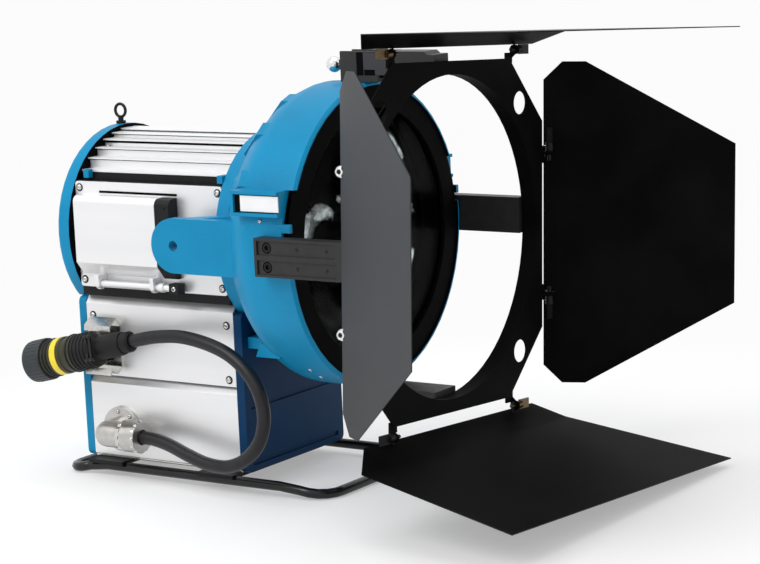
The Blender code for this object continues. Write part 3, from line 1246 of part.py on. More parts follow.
def make_connector(lamp, rubber, olive, yellow):
    total = (CONNECTOR_END - CONNECTOR_START).length
    nut_end = SEAL_NUT_LENGTH
    neck_end = nut_end + BACKSHELL_NECK
    back_end = neck_end + BACKSHELL_BODY
    shell_end = total - COUPLING_LENGTH
    band_low, band_high = shell_end - 26 * MM, shell_end - 16 * MM
    collar = CABLE_DIAMETER / 2
    nut = [(0, SEAT_GAP), (collar + 2.5 * MM, SEAT_GAP), (collar + 5 * MM, 3 * MM),
           (collar + 5 * MM, nut_end), (0, nut_end)]
    lamp.add(connector_piece("connector_seal_nut", nut, 24), rubber)
    radius = CONNECTOR_RADIUS
    neck = collar + 7 * MM
    back = [(0, nut_end + SEAT_GAP), (neck - 1 * MM, nut_end + SEAT_GAP), (neck, nut_end + 6 * MM),
            (neck, neck_end - 8 * MM), (radius - 1 * MM, neck_end), (radius - 1 * MM, back_end),
            (0, back_end)]
    lamp.add(connector_piece("connector_backshell", back, 32), rubber)
    groove = 1.5 * MM
    shell = [(0, back_end + SEAT_GAP), (radius, back_end + SEAT_GAP), (radius, band_low - 12 * MM),
             (radius - groove, band_low - 11 * MM), (radius - groove, band_low - 6 * MM),
             (radius, band_low - 5 * MM), (radius, band_low), (radius - 2 * groove, band_low),
             (radius - 2 * groove, band_high), (radius, band_high),
             (radius, shell_end), (radius - 6 * MM, shell_end), (radius - 6 * MM, total - 6 * MM),
             (0, total - 6 * MM)]
    lamp.add(connector_piece("connector_shell", shell), olive)
    inner = radius - 2 * groove + SEAT_GAP
    band = [(inner, band_low + SEAT_GAP), (radius + 0.4 * MM, band_low + SEAT_GAP),
            (radius + 0.4 * MM, band_high - SEAT_GAP), (inner, band_high - SEAT_GAP)]
    lamp.add(connector_piece("connector_band", band), yellow)
    axis = lamp.empty("coupling", lamp.root, Matrix.Translation(CONNECTOR_END))
    start = shell_end + RUNNING_GAP
    ring = [(radius - 6 * MM + RUNNING_GAP, start), (COUPLING_RADIUS - 1 * MM, start),
            (COUPLING_RADIUS, start + 1 * MM), (COUPLING_RADIUS, total - 2 * MM),
            (COUPLING_RADIUS - 2 * MM, total), (radius - 6 * MM + RUNNING_GAP, total)]
    lamp.add(connector_piece("coupling_ring", ring, 48), rubber, axis)


def make_parking_clip(lamp, steel):
    """Sprung saddle on the box side that holds the connector."""
    wall = BOX_HALF_WIDTH + SEAT_GAP
    axis = CONNECTOR_START.lerp(CONNECTOR_END, 0.41)
    grip = CONNECTOR_RADIUS + 1.5 * MM
    upper = [(wall, axis.z), (wall, axis.z + 26 * MM), (wall + 9 * MM, axis.z + grip + 12 * MM),
             (wall + 22 * MM, axis.z + grip + 3 * MM), (wall + 23 * MM, axis.z + grip - 4 * MM)]
    lower = [(wall, axis.z), (wall, axis.z - 28 * MM), (wall + 9 * MM, axis.z - grip - 10 * MM),
             (wall + 22 * MM, axis.z - grip - 3 * MM), (wall + 23 * MM, axis.z - grip - 10 * MM)]
    path = list(reversed(upper)) + lower[1:]
    inner = offset_path(path, CLIP_SHEET)
    outline = [(-x, z) for x, z in path + list(reversed(inner))]
    clip = prism("parking_clip", outline, "Y", 444 * MM, 486 * MM)
    lamp.add(clip, steel)


def offset_path(path, distance):
    """A polyline moved sideways by a distance, mitred at its corners."""
    result = []
    for i, place in enumerate(path):
        here = Vector(place)
        before = (here - Vector(path[i - 1])).normalized() if i else None
        after = (Vector(path[i + 1]) - here).normalized() if i + 1 < len(path) else None
        before, after = before or after, after or before
        middle = (before + after).normalized()
        normal = Vector((-middle.y, middle.x))
        scale = 1 / max(0.4, Vector((-before.y, before.x)).dot(normal))
        result.append(tuple(here + normal * distance * scale))
    return result


def stand_on_ground(lamp):
    """Put the origin under the middle of the skid's front cross tube, on the ground."""
    lamp.root.location = (0, -SKID_FRONT_Y, -ground_z())
    bpy.context.view_layer.update()


def main():
    clear_scene()
    blue = finish("blue_enamel", (0.03, 0.27, 0.55), 0.0, 0.4)
    aluminium = finish("satin_aluminium", (0.80, 0.80, 0.81), 0.9, 0.38)
    black = finish("black_coat", (0.02, 0.02, 0.022), 0.0, 0.5)
    steel = finish("bright_steel", (0.70, 0.69, 0.66), 1.0, 0.25)
    nickel = finish("nickel", (0.66, 0.65, 0.62), 1.0, 0.3)
    silver = finish("mirror_aluminium", (0.85, 0.85, 0.86), 1.0, 0.12)
    glass = finish("clear_glass", (0.9, 0.93, 0.93), 0.0, 0.05)
    ceramic = finish("ceramic", (0.85, 0.82, 0.76), 0.0, 0.6)
    resin = finish("potting_resin", (0.05, 0.05, 0.05), 0.0, 0.6)
    rubber = finish("black_rubber", (0.03, 0.03, 0.032), 0.0, 0.55)
    olive = finish("olive_anodised", (0.06, 0.06, 0.045), 0.3, 0.45)
    yellow = finish("yellow_band", (0.9, 0.75, 0.05), 0.0, 0.45)

    lamp = Lamp()
    make_front_housing(lamp, blue)
    make_blank_plate(lamp, aluminium)
    make_rear_plate(lamp, blue)
    make_chassis(lamp, black)
    make_fins(lamp, aluminium)
    make_side_panels(lamp, aluminium)
    make_cover(lamp, aluminium, black)
    make_box(lamp, blue, aluminium, steel, resin)
    make_skid(lamp, black)
    make_eye_bolt(lamp, black)
    make_brackets(lamp, black)
    make_latch(lamp, black, steel)
    make_optics(lamp, glass, silver, ceramic, black, steel)
    door = make_barn_door(lamp, black, steel)
    make_leaves(lamp, door, black)
    make_gland(lamp, nickel)
    make_cable(lamp, rubber)
    make_connector(lamp, rubber, olive, yellow)
    make_parking_clip(lamp, steel)
    stand_on_ground(lamp)


main()
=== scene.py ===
import math

import bmesh
import bpy
from mathutils import Matrix, Vector


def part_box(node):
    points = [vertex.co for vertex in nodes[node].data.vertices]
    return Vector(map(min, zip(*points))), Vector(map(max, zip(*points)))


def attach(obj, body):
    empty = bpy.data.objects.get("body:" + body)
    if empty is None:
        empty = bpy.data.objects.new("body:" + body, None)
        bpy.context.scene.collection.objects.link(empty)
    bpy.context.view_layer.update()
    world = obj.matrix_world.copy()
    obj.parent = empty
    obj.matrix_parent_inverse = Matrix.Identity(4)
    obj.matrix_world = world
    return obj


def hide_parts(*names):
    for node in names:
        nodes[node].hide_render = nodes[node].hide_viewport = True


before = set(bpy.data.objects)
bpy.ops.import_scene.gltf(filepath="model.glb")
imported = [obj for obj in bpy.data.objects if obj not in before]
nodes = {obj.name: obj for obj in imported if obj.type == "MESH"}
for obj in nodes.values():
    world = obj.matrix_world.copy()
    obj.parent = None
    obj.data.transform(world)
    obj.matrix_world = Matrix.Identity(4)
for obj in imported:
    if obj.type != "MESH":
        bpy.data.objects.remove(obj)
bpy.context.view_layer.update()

MM = 0.001
PHOTO_WIDTH = 760.0
LENS_IN_PIXELS = 2471.22
SENSOR_WIDTH = 36.0
CABLE_RADIUS = 8.5 * MM
SOCKET_DEPTH = 1.3
ORIGIN = Vector((0, -0.130, 0.3164))
TURN = Matrix.Rotation(math.radians(3.7), 4, "Y")


def at(x, y, z):
    """A place in lamp millimetres: the beam axis at x = z = 0, y = 0 at the barn-door plate."""
    return ORIGIN + Vector((x, y, z)) * MM


def door(x, y, z):
    """The same in the turned barn door's own axes."""
    return ORIGIN + TURN @ (Vector((x, y, z)) * MM)


# Camera, at the photograph's place and lens
camera_data = bpy.data.cameras.new("camera")
camera = bpy.data.objects.new("camera", camera_data)
bpy.context.scene.collection.objects.link(camera)
camera_data.sensor_fit = "HORIZONTAL"
camera_data.sensor_width = SENSOR_WIDTH
camera_data.lens = LENS_IN_PIXELS * SENSOR_WIDTH / PHOTO_WIDTH
camera_data.clip_end = 200
yaw, pitch, roll = math.radians(-55.76), math.radians(9.42), math.radians(-2.54)
forward = Vector((-math.sin(yaw) * math.cos(pitch), math.cos(yaw) * math.cos(pitch), -math.sin(pitch)))
level = forward.cross(Vector((0, 0, 1))).normalized()
upright = level.cross(forward)
right = level * math.cos(roll) + upright * math.sin(roll)
up = upright * math.cos(roll) - level * math.sin(roll)
camera.matrix_world = Matrix((
    (right.x, up.x, -forward.x, 0), (right.y, up.y, -forward.y, 0),
    (right.z, up.z, -forward.z, 0), (0, 0, 0, 1)))
camera.location = at(-2494.31, -1587.29, 439.9)
bpy.context.scene.camera = camera
bpy.context.scene.view_settings.view_transform = "Standard"


# Materials
def material(name, colour, metallic=0.0, roughness=0.5, vary=0.06, vary_scale=40.0, rough_vary=0.08,
             bump=0.05, bump_scale=600.0, stretch=None, coat=0.0, coat_roughness=0.2, specular=0.5,
             specks_and_glints=None, distance=0.0005):
    """Principled surface whose colour, roughness and relief come from noise at real scales."""
    mat = bpy.data.materials.new(name)
    mat.use_nodes = True
    tree = mat.node_tree
    make, join = tree.nodes.new, tree.links.new
    shader = tree.nodes["Principled BSDF"]
    shader.inputs["Metallic"].default_value = metallic
    shader.inputs["Coat Weight"].default_value = coat
    shader.inputs["Coat Roughness"].default_value = coat_roughness
    shader.inputs["Specular IOR Level"].default_value = specular
    coords = make("ShaderNodeTexCoord")
    place = make("ShaderNodeMapping")
    join(coords.outputs["Object"], place.inputs["Vector"])
    if stretch:
        place.inputs["Scale"].default_value = stretch
    broad = make("ShaderNodeTexNoise")
    broad.inputs["Scale"].default_value = vary_scale
    broad.inputs["Detail"].default_value = 4
    join(place.outputs["Vector"], broad.inputs["Vector"])
    ramp = make("ShaderNodeValToRGB")
    ramp.color_ramp.elements[0].position = 0.3
    ramp.color_ramp.elements[1].position = 0.7
    ramp.color_ramp.elements[0].color = (*[c * (1 - vary) for c in colour], 1)
    ramp.color_ramp.elements[1].color = (*[min(1, c * (1 + vary) + vary * 0.01) for c in colour], 1)
    join(broad.outputs["Fac"], ramp.inputs["Fac"])
    last = ramp.outputs["Color"]
    # Lighter dots from noise: random tone on the enamel, painted glints on the reflector
    if specks_and_glints:
        tint, amount, scale = specks_and_glints
        dots = make("ShaderNodeTexNoise")
        dots.inputs["Scale"].default_value = scale
        dots.inputs["Detail"].default_value = 6
        join(coords.outputs["Object"], dots.inputs["Vector"])
        cut = make("ShaderNodeMapRange")
        cut.inputs["From Min"].default_value = 1 - amount
        cut.inputs["From Max"].default_value = 1 - amount + 0.08
        join(dots.outputs["Fac"], cut.inputs["Value"])
        mix = make("ShaderNodeMix")
        mix.data_type = "RGBA"
        join(cut.outputs["Result"], mix.inputs["Factor"])
        join(last, mix.inputs["A"])
        mix.inputs["B"].default_value = (*tint, 1)
        last = mix.outputs["Result"]
    join(last, shader.inputs["Base Color"])
    fine = make("ShaderNodeTexNoise")
    fine.inputs["Scale"].default_value = bump_scale
    fine.inputs["Detail"].default_value = 3
    join(place.outputs["Vector"], fine.inputs["Vector"])
    rough = make("ShaderNodeMapRange")
    rough.inputs["To Min"].default_value = max(0.02, roughness - rough_vary)
    rough.inputs["To Max"].default_value = min(1, roughness + rough_vary)
    join(broad.outputs["Fac"], rough.inputs["Value"])
    join(rough.outputs["Result"], shader.inputs["Roughness"])
    relief = make("ShaderNodeBump")
    relief.inputs["Strength"].default_value = bump
    relief.inputs["Distance"].default_value = distance
    join(fine.outputs["Fac"], relief.inputs["Height"])
    join(relief.outputs["Normal"], shader.inputs["Normal"])
    return mat


BLUE = material("blue_enamel", (0.003, 0.225, 0.43), roughness=0.42, vary=0.08, vary_scale=16, bump=0.2,
                bump_scale=900, coat=0.04, coat_roughness=0.22, specular=0.14,
                specks_and_glints=((0.02, 0.33, 0.56), 0.33, 300))
# Darker blue for the box front plate: painted shade on the face turned from the light
BLUE_SHADED_FRONT = material("blue_enamel_painted_shade", (0.001, 0.036, 0.105), roughness=0.45, vary=0.08, vary_scale=14,
                     bump=0.2, bump_scale=900, specular=0.12)
ALU = material("satin_aluminium", (0.84, 0.84, 0.85), metallic=0.7, roughness=0.38, vary=0.03,
               vary_scale=25, bump=0.10, bump_scale=1400, stretch=(1, 0.05, 1))
ALU_BRIGHT = material("anodised_plate", (0.88, 0.88, 0.89), metallic=0.5, roughness=0.45, vary=0.02,
                      vary_scale=60, bump=0.06, bump_scale=1500)
BLACK = material("black_coat", (0.007, 0.007, 0.008), roughness=0.5, vary=0.2, vary_scale=60, bump=0.22,
                 bump_scale=1500, specular=0.2)
# Dead black, both the real black inside of the casting and slots, and painted shadow lines and painted
# shade
BLACK_AND_PAINTED_SHADE = material("black_inside_and_painted_shade", (0.0015, 0.0015, 0.002), roughness=0.65, vary=0.2, bump=0.1,
                  specular=0.03)
LEAF_OUT = material("leaf_outside", (0.034, 0.035, 0.039), roughness=0.52, vary=0.06, vary_scale=9,
                    bump=0.15, bump_scale=1800, specular=0.3)
LEAF_IN = material("leaf_inside", (0.0016, 0.0015, 0.0015), roughness=0.6, vary=0.3, vary_scale=12,
                   bump=0.15, bump_scale=1800, specular=0.04)
BRACKET = material("bracket_black", (0.018, 0.017, 0.018), roughness=0.42, vary=0.15, vary_scale=80,
                   bump=0.2, bump_scale=1300, specular=0.35)
STEEL = material("bright_steel", (0.62, 0.61, 0.58), metallic=1.0, roughness=0.24, vary=0.08,
                 vary_scale=200, bump=0.05, bump_scale=900)
CHROME = material("chrome", (0.80, 0.80, 0.80), metallic=1.0, roughness=0.08, vary=0.02, bump=0.01)
NICKEL = material("brushed_nickel", (0.52, 0.51, 0.49), metallic=1.0, roughness=0.33, vary=0.06,
                  vary_scale=120, bump=0.14, bump_scale=900)
# Brass darkened with painted shade, as the two screws sit in shadow
BRASS_SHADED = material("brass_painted_shade", (0.13, 0.09, 0.045), metallic=1.0, roughness=0.35, vary=0.2, vary_scale=160)
RUBBER = material("cable_rubber", (0.009, 0.009, 0.011), roughness=0.38, vary=0.2, vary_scale=60,
                  bump=0.25, bump_scale=1200, specular=0.25, coat=0.12, coat_roughness=0.25)
GLOSS = material("gloss_black", (0.004, 0.004, 0.005), roughness=0.22, vary=0.2, vary_scale=50, bump=0.08,
                 bump_scale=500, specular=0.4)
OLIVE = material("olive_anodised", (0.036, 0.036, 0.018), metallic=0.2, roughness=0.42, vary=0.12,
                 vary_scale=90, bump=0.15, bump_scale=1300, specular=0.35)
GREY_CAP = material("coupling_grey", (0.026, 0.032, 0.036), roughness=0.45, vary=0.12, vary_scale=90,
                    bump=0.15, bump_scale=1300, specular=0.35)
YELLOW = material("yellow_band", (0.80, 0.62, 0.02), roughness=0.42, vary=0.06, vary_scale=90)
CERAMIC = material("ceramic", (0.80, 0.76, 0.68), roughness=0.5, vary=0.05, vary_scale=60)
# Reflector: the near-black base is painted shade inside the lamp, and its bright specks are painted glints
MIRROR_SHADE_AND_GLINTS = material("reflector_painted_shade_and_glints", (0.003, 0.003, 0.0035), metallic=1.0, roughness=0.13, vary=0.1,
                  vary_scale=14, bump=0.3, bump_scale=45, distance=0.002,
                  specks_and_glints=((0.55, 0.58, 0.58), 0.47, 20))
RESIN = material("potting_resin", (0.03, 0.03, 0.03), roughness=0.6, vary=0.1)


def clear_glass():
    mat = bpy.data.materials.new("clear_glass")
    mat.use_nodes = True
    shader = mat.node_tree.nodes["Principled BSDF"]
    shader.inputs["Base Color"].default_value = (0.95, 0.98, 0.98, 1)
    shader.inputs["Transmission Weight"].default_value = 1.0
    shader.inputs["IOR"].default_value = 1.06
    noise = mat.node_tree.nodes.new("ShaderNodeTexNoise")
    noise.inputs["Scale"].default_value = 90
    spread = mat.node_tree.nodes.new("ShaderNodeMapRange")
    spread.inputs["To Min"].default_value = 0.01
    spread.inputs["To Max"].default_value = 0.05
    mat.node_tree.links.new(noise.outputs["Fac"], spread.inputs["Value"])
    mat.node_tree.links.new(spread.outputs["Result"], shader.inputs["Roughness"])
    return mat


GLASS = clear_glass()


def dress(name, mat, width=0.6, segments=2, angle=35):
    """Give a CAD node its material, softened edges and smooth round faces."""
    item = nodes[name]
    item.data.materials.clear()
    item.data.materials.append(mat)
    for polygon in item.data.polygons:
        polygon.material_index = 0
    normals = item.data.attributes.get("custom_normal")
    if normals:
        item.data.attributes.remove(normals)
    item.data.shade_smooth()
    weld = item.modifiers.new("weld", "WELD")
    weld.merge_threshold = 1e-6
    if width:
        soft = item.modifiers.new("edges", "BEVEL")
        soft.width = width * MM
        soft.segments = segments
        soft.limit_method = "ANGLE"
        soft.angle_limit = math.radians(angle)
        soft.use_clamp_overlap = True
        soft.miter_outer = "MITER_ARC"
    even = item.modifiers.new("even", "WEIGHTED_NORMAL")
    even.keep_sharp = True
    even.weight = 60
    return item


PLAN = (
    (BLUE, 0.9, ("rear_end_plate", "box_rear_plate")),
    (BLUE, 0.8, ("front_housing",)),
    (BLUE_SHADED_FRONT, 0.9, ("box_front_plate",)),
    (ALU, 0.3, ("fin_extrusion", "side_cover")),
    (ALU, 0.4, ("side_panel_left", "side_panel_right", "box_panel_upper_left", "box_panel_upper_right",
                "box_panel_lower_left", "box_panel_lower_right", "focus_rod")),
    (ALU_BRIGHT, 0.3, ("blank_plate",)),
    (BLACK, 0.6, ("side_cover_cap", "inner_chassis", "eye_bolt", "skid_clamp_front", "skid_clamp_rear",
                  "lamp_carriage")),
    (BLACK_AND_PAINTED_SHADE, 0.6, ("glass_retainer",)),
    (LEAF_IN, 0.3, ("barn_door_frame",)),
    (BRACKET, 0.5, ("bracket_left", "bracket_right", "bracket_bottom", "latch_base", "latch_lever")),
    (GLOSS, 0.0, ("skid",)),
    (STEEL, 0.4, ("latch_pin", "carriage_guide", "box_floor")),
    (STEEL, 0.15, ("parking_clip",)),
    (CHROME, 0.0, ("latch_knob",)),
    (NICKEL, 0.7, ("gland_flange", "gland_elbow", "gland_nut")),
    (GLASS, 0.0, ("front_glass", "lamp_bulb")),
    (MIRROR_SHADE_AND_GLINTS, 0.0, ("reflector",)),
    (CERAMIC, 0.5, ("lamp_base",)),
    (RESIN, 1.0, ("ignitor",)),
    (BLACK, 0.5, ("connector_seal_nut", "connector_backshell")),
    (GREY_CAP, 0.8, ("coupling_ring",)),
    (OLIVE, 0.5, ("connector_shell",)),
    (YELLOW, 0.2, ("connector_band",)),
)
for mat, width, names in PLAN:
    for name in names:
        dress(name, mat, width)
for leaf in ("top", "bottom", "left", "right"):
    for end in "ab":
        worn = (leaf, end) in (("top", "a"), ("bottom", "a"))
        dress(f"wing_screw_{leaf}_{end}", BRASS_SHADED if worn else BLACK, 0.5)


def second_material(name, mat, test):
    """Paint the faces of a CAD node that the test picks, by face centre and normal."""
    item = nodes[name]
    item.data.materials.append(mat)
    for polygon in item.data.polygons:
        if test(polygon.center - ORIGIN, polygon.normal):
            polygon.material_index = 1


# The casting is black inside
INSIDE = ((108, 184.4), (168, 184.2), (189, 178.9), (210, 163.7), (231, 141.6), (252, 126.8), (263, 126.8))


def inner_radius(y):
    for (y0, r0), (y1, r1) in zip(INSIDE, INSIDE[1:]):
        if y <= y1 * MM:
            return (r0 + (r1 - r0) * (y / MM - y0) / (y1 - y0)) * MM
    return 0


second_material("front_housing", BLACK_AND_PAINTED_SHADE, lambda p, n: 0.1081 < p.y < 0.2625
                and math.hypot(p.x, p.z) < inner_radius(p.y))

# The rear plate's faces that look forward, towards the fins, are black
second_material("rear_end_plate", BLACK_AND_PAINTED_SHADE, lambda p, n: n.y < -0.9)

# The rod's square end is a blackened bolt
second_material("focus_rod", BLACK, lambda p, n: p.y < 0.3435)

# Leaves: grey baked coat outside, dead black inside
for name in ("top", "bottom", "left", "right"):
    node = "leaf_" + name
    dress(node, LEAF_OUT, 0.0)
    low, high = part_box(node)
    middle = (low + high) / 2
    inward = (ORIGIN + Vector((0, -0.16, 0))) - middle
    second_material(node, LEAF_IN, lambda p, n, inward=inward: n.dot(inward) > 0)


# Building blocks for the detail pieces
def piece(name, mesh, mat, body, width=0.0, sharp=35):
    item = bpy.data.objects.new(name, mesh)
    bpy.context.scene.collection.objects.link(item)
    item.data.materials.append(mat)
    item.data.shade_smooth()
    item.data.set_sharp_from_angle(angle=math.radians(sharp))
    if width:
        soft = item.modifiers.new("edges", "BEVEL")
        soft.width = width * MM
        soft.segments = 2
        soft.limit_method = "ANGLE"
        soft.angle_limit = math.radians(40)
    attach(item, body)
    return item


def mesh_from(name, solids):
    """One mesh of several (verts, faces) solids."""
    verts, faces = [], []
    for more_verts, more_faces in solids:
        start = len(verts)
        verts += [tuple(v) for v in more_verts]
        faces += [tuple(start + i for i in face) for face in more_faces]
    mesh = bpy.data.meshes.new(name)
    mesh.from_pydata(verts, [], faces)
    bm = bmesh.new()
    bm.from_mesh(mesh)
    bmesh.ops.remove_doubles(bm, verts=bm.verts, dist=1e-7)
    bmesh.ops.recalc_face_normals(bm, faces=bm.faces)
    bm.to_mesh(mesh)
    bm.free()
    return mesh


def axes_for(normal):
    normal = Vector(normal).normalized()
    side = normal.cross(Vector((0, 0, 1)))
    if side.length < 0.1:
        side = normal.cross(Vector((0, 1, 0)))
    side.normalize()
    return side, normal.cross(side), normal


def turned(centre, normal, profile, steps=24, lobes=0, depth=0.0):
    """A turned solid of (radius, height) pairs in mm from the axis out and back to it."""
    side, other, normal = axes_for(normal)
    verts = []
    for i in range(steps):
        angle = 2 * math.pi * i / steps
        for radius, height in profile:
            reach = radius - (depth if lobes and (i * lobes * 2 // steps) % 2 and radius > depth else 0)
            verts.append(centre + (side * math.cos(angle) + other * math.sin(angle)) * reach * MM
                         + normal * height * MM)
    n = len(profile)
    faces = [(i * n + j, (i + 1) % steps * n + j, (i + 1) % steps * n + j + 1, i * n + j + 1)
             for i in range(steps) for j in range(n - 1)]
    return verts, faces


def screw(centre, normal, radius=4.0, height=2.6, socket=True):
    """A domed head with a hexagon socket."""
    profile = [(0, -0.2), (radius, -0.2), (radius, 0.25 * height), (radius * 0.9, 0.62 * height),
               (radius * 0.72, 0.9 * height), (radius * 0.52, height)]
    if socket:
        floor_at = height - SOCKET_DEPTH
        profile += [(radius * 0.42, height), (radius * 0.40, floor_at), (0, floor_at)]
    else:
        profile += [(0, height)]
    return turned(Vector(centre), normal, profile, 24)


def bar(a, b, half_u, half_v, u_axis):
    """A rectangular bar from a to b, half sizes in mm, the first along u_axis."""
    a, b = Vector(a), Vector(b)
    run = (b - a).normalized()
    u = Vector(u_axis)
    u = (u - run * u.dot(run)).normalized()
    v = run.cross(u)
    verts = []
    for end in (a, b):
        for su, sv in ((-1, -1), (1, -1), (1, 1), (-1, 1)):
            verts.append(end + u * su * half_u * MM + v * sv * half_v * MM)
    faces = [(0, 1, 2, 3), (7, 6, 5, 4)] + [(i, (i + 1) % 4, 4 + (i + 1) % 4, 4 + i) for i in range(4)]
    return verts, faces


# Screws on the panels, each on a dark ring that is painted shade round the head
heads, screw_shade_rings = [], []


def panel_screw(centre, normal, radius=4.0, height=2.6):
    heads.append(screw(centre, normal, radius, height))
    screw_shade_rings.append(turned(Vector(centre), normal, [(0, -0.2), (radius + 1.3, -0.2), (radius + 1.3, 0.35),
                                                   (radius + 0.9, 0.6), (0, 0.6)], 24))


for side in (-1, 1):
    for y, z in ((270, 59), (492, 59), (270, -60), (492, -60)):
        panel_screw(at(side * 111.8, y, z), (side, 0, 0))
    for y, z in ((273, -108), (489, -108), (273, -177), (489, -177)):
        panel_screw(at(side * 104.5, y, z), (side, 0, 0))
    for y in (268, 491):
        angle = math.radians(27)
        spot = at(side * 116 * math.sin(angle), y, 116 * math.cos(angle))
        panel_screw(spot, (side * math.sin(angle), 0, math.cos(angle)), 3.6, 2.4)
piece("panel_screws", mesh_from("panel_screws", heads), STEEL, "lamp_head")
piece("panel_screw_shade_rings", mesh_from("panel_screw_shade_rings", screw_shade_rings), BLACK, "lamp_head")

# Socket screws and pins in the accessory brackets, the pins in lighter grey as painted highlight on their
# rims
sockets, pins = [], []
for turn in (0, 90, 180):
    spin = Matrix.Rotation(math.radians(turn), 3, "Y")
    out = spin @ Vector((1, 0, 0))
    for z in (-11.5, 11.5):
        place = ORIGIN + spin @ (Vector((197.6, 130, z)) * MM)
        profile = [(0, 0), (5.6, 0), (5.9, 0.5), (5.9, 6.0), (5.3, 6.6), (3.2, 6.6), (2.9, 6.3),
                   (2.8, 3.4), (0, 3.4)]
        sockets.append(turned(place, out, profile, 24))
        for y in (85, 43):
            place = ORIGIN + spin @ (Vector((199.6, y, z)) * MM)
            pin_profile = [(0, 0), (2.8, 0), (2.8, 3.6), (2.5, 3.9), (1.5, 3.9), (1.4, 2.6), (0, 2.6)]
            pins.append(turned(place, out, pin_profile, 18))
piece("bracket_screws", mesh_from("bracket_screws", sockets), BLACK, "lamp_head")
piece("bracket_pins_painted_highlight", mesh_from("bracket_pins_painted_highlight", pins), LEAF_OUT, "lamp_head")

# Cable: the same route as the solid, on a finer curve
ROUTE = (
    (-134.5, 392.0, -255.0), (-135.0, 374.0, -255.6), (-137.5, 348.0, -260.0), (-142.0, 315.0, -269.0),
    (-146.0, 282.0, -276.0), (-149.0, 248.0, -275.5), (-151.5, 218.0, -263.0), (-153.0, 195.0, -240.0),
    (-153.5, 185.0, -210.0), (-153.0, 190.0, -179.0), (-151.0, 209.0, -153.0), (-148.5, 238.0, -134.0),
    (-146.0, 274.0, -123.0), (-143.5, 316.0, -118.0), (-141.5, 356.0, -121.2), (-140.4, 383.0, -126.5),
    (-140.0, 395.7, -129.5),
)


def smooth_route(places, steps=8):
    fine = []
    for i in range(len(places) - 1):
        before, after = places[max(i - 1, 0)], places[min(i + 2, len(places) - 1)]
        start, end = places[i], places[i + 1]
        for step in range(steps):
            t = step / steps
            fine.append((2 * start + (end - before) * t + (2 * before - 5 * start + 4 * end - after) * t * t
                         + (3 * start - before - 3 * end + after) * t ** 3) / 2)
    return fine + [places[-1]]


route = smooth_route([at(*p) for p in ROUTE])
cable_curve = bpy.data.curves.new("cable", "CURVE")
cable_curve.dimensions = "3D"
spline = cable_curve.splines.new("POLY")
spline.points.add(len(route) - 1)
for point, place in zip(spline.points, route):
    point.co = (*place, 1)
cable_curve.bevel_depth = CABLE_RADIUS
cable_curve.bevel_resolution = 6
cable_curve.use_fill_caps = True
cable = bpy.data.objects.new("cable", cable_curve)
bpy.context.scene.collection.objects.link(cable)
cable_curve.materials.append(RUBBER)
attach(cable, "lamp_head")
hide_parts("head_cable")

# Gland: screws in the flange, and two castellated rings
gland_screws = []
for angle in (80, 280, 130, 230):
    y = 450 + 23.5 * math.cos(math.radians(angle))
    z = -255 + 23.5 * math.sin(math.radians(angle))
    gland_screws.append(screw(at(-108.8, y, z), (-1, 0, 0), 3.2, 2.2))
piece("gland_screws", mesh_from("gland_screws", gland_screws), STEEL, "lamp_head")
ring_profile = [(16.6, 0), (19.6, 0), (19.6, 5.5), (16.6, 5.5), (16.6, 0)]
collar = turned(at(-134.5, 419.5, -255), (0, 1, 0), ring_profile, 48, lobes=12, depth=1.8)
mouth_profile = [(17.6, 0), (20.9, 0), (21.2, 0.6), (21.2, 5), (17.6, 5), (17.6, 0)]
mouth_ring = turned(at(-134.5, 394.5, -255), (0, 1, 0), mouth_profile, 48, lobes=12, depth=2.2)
piece("gland_collar", mesh_from("gland_collar", [collar, mouth_ring]), STEEL, "lamp_head", 0.3)

# Connector: ribs on the coupling ring, ridges on the body, and cable clamp bolts
plug_start, plug_end = at(-140, 396, -129.6), at(-144.5, 558.6, -167.5)
run = (plug_end - plug_start).normalized()
total = (plug_end - plug_start).length / MM
side_axis, up_axis, _ = axes_for(run)


def on_plug(along, angle, reach):
    """A place on the connector: mm along its axis, degrees round it, mm off it."""
    turn = math.radians(angle)
    out = side_axis * math.cos(turn) + up_axis * math.sin(turn)
    return plug_start + run * along * MM + out * reach * MM


ribs = []
for i in range(30):
    angle = 12 * i
    out = on_plug(0, angle, 1) - plug_start
    ribs.append(bar(on_plug(total - 27, angle, 26.9), on_plug(total - 5, angle, 26.9), 0.5, 1.0, out))
piece("coupling_ribs", mesh_from("coupling_ribs", ribs), GREY_CAP, "coupling", 0.25)
rings = []
for along, radius in ((64, 23.2), (70, 23.2), (76, 23.2), (82, 23.2), (92, 24.2), (126, 24.2), (131, 24.2)):
    profile = [(radius - 1.5, 0), (radius + 0.5, 0), (radius + 0.8, 0.8), (radius + 0.8, 1.8),
               (radius + 0.5, 2.6), (radius - 1.5, 2.6), (radius - 1.5, 0)]
    rings.append(turned(plug_start + run * along * MM, run, profile, 48))
piece("connector_ridges", mesh_from("connector_ridges", rings), BLACK, "lamp_head")
clamp = []
for angle in (10, 190):
    across = on_plug(0, angle + 90, 1) - plug_start
    for along in (54, 60):
        middle = on_plug(along, angle, 19.5)
        ends = [middle - across * 13, middle + across * 13]
        clamp.append(turned(ends[0], across, [(0, 0), (2.2, 0), (2.2, 26), (0, 26)], 12))
        for end, way in zip(ends, (-1, 1)):
            clamp.append(turned(end, across * way, [(0, 0), (4.2, 0), (4.2, 3), (3.6, 3.6), (0, 3.6)], 6))
piece("connector_clamp_bolts", mesh_from("connector_clamp_bolts", clamp), GLOSS, "lamp_head")

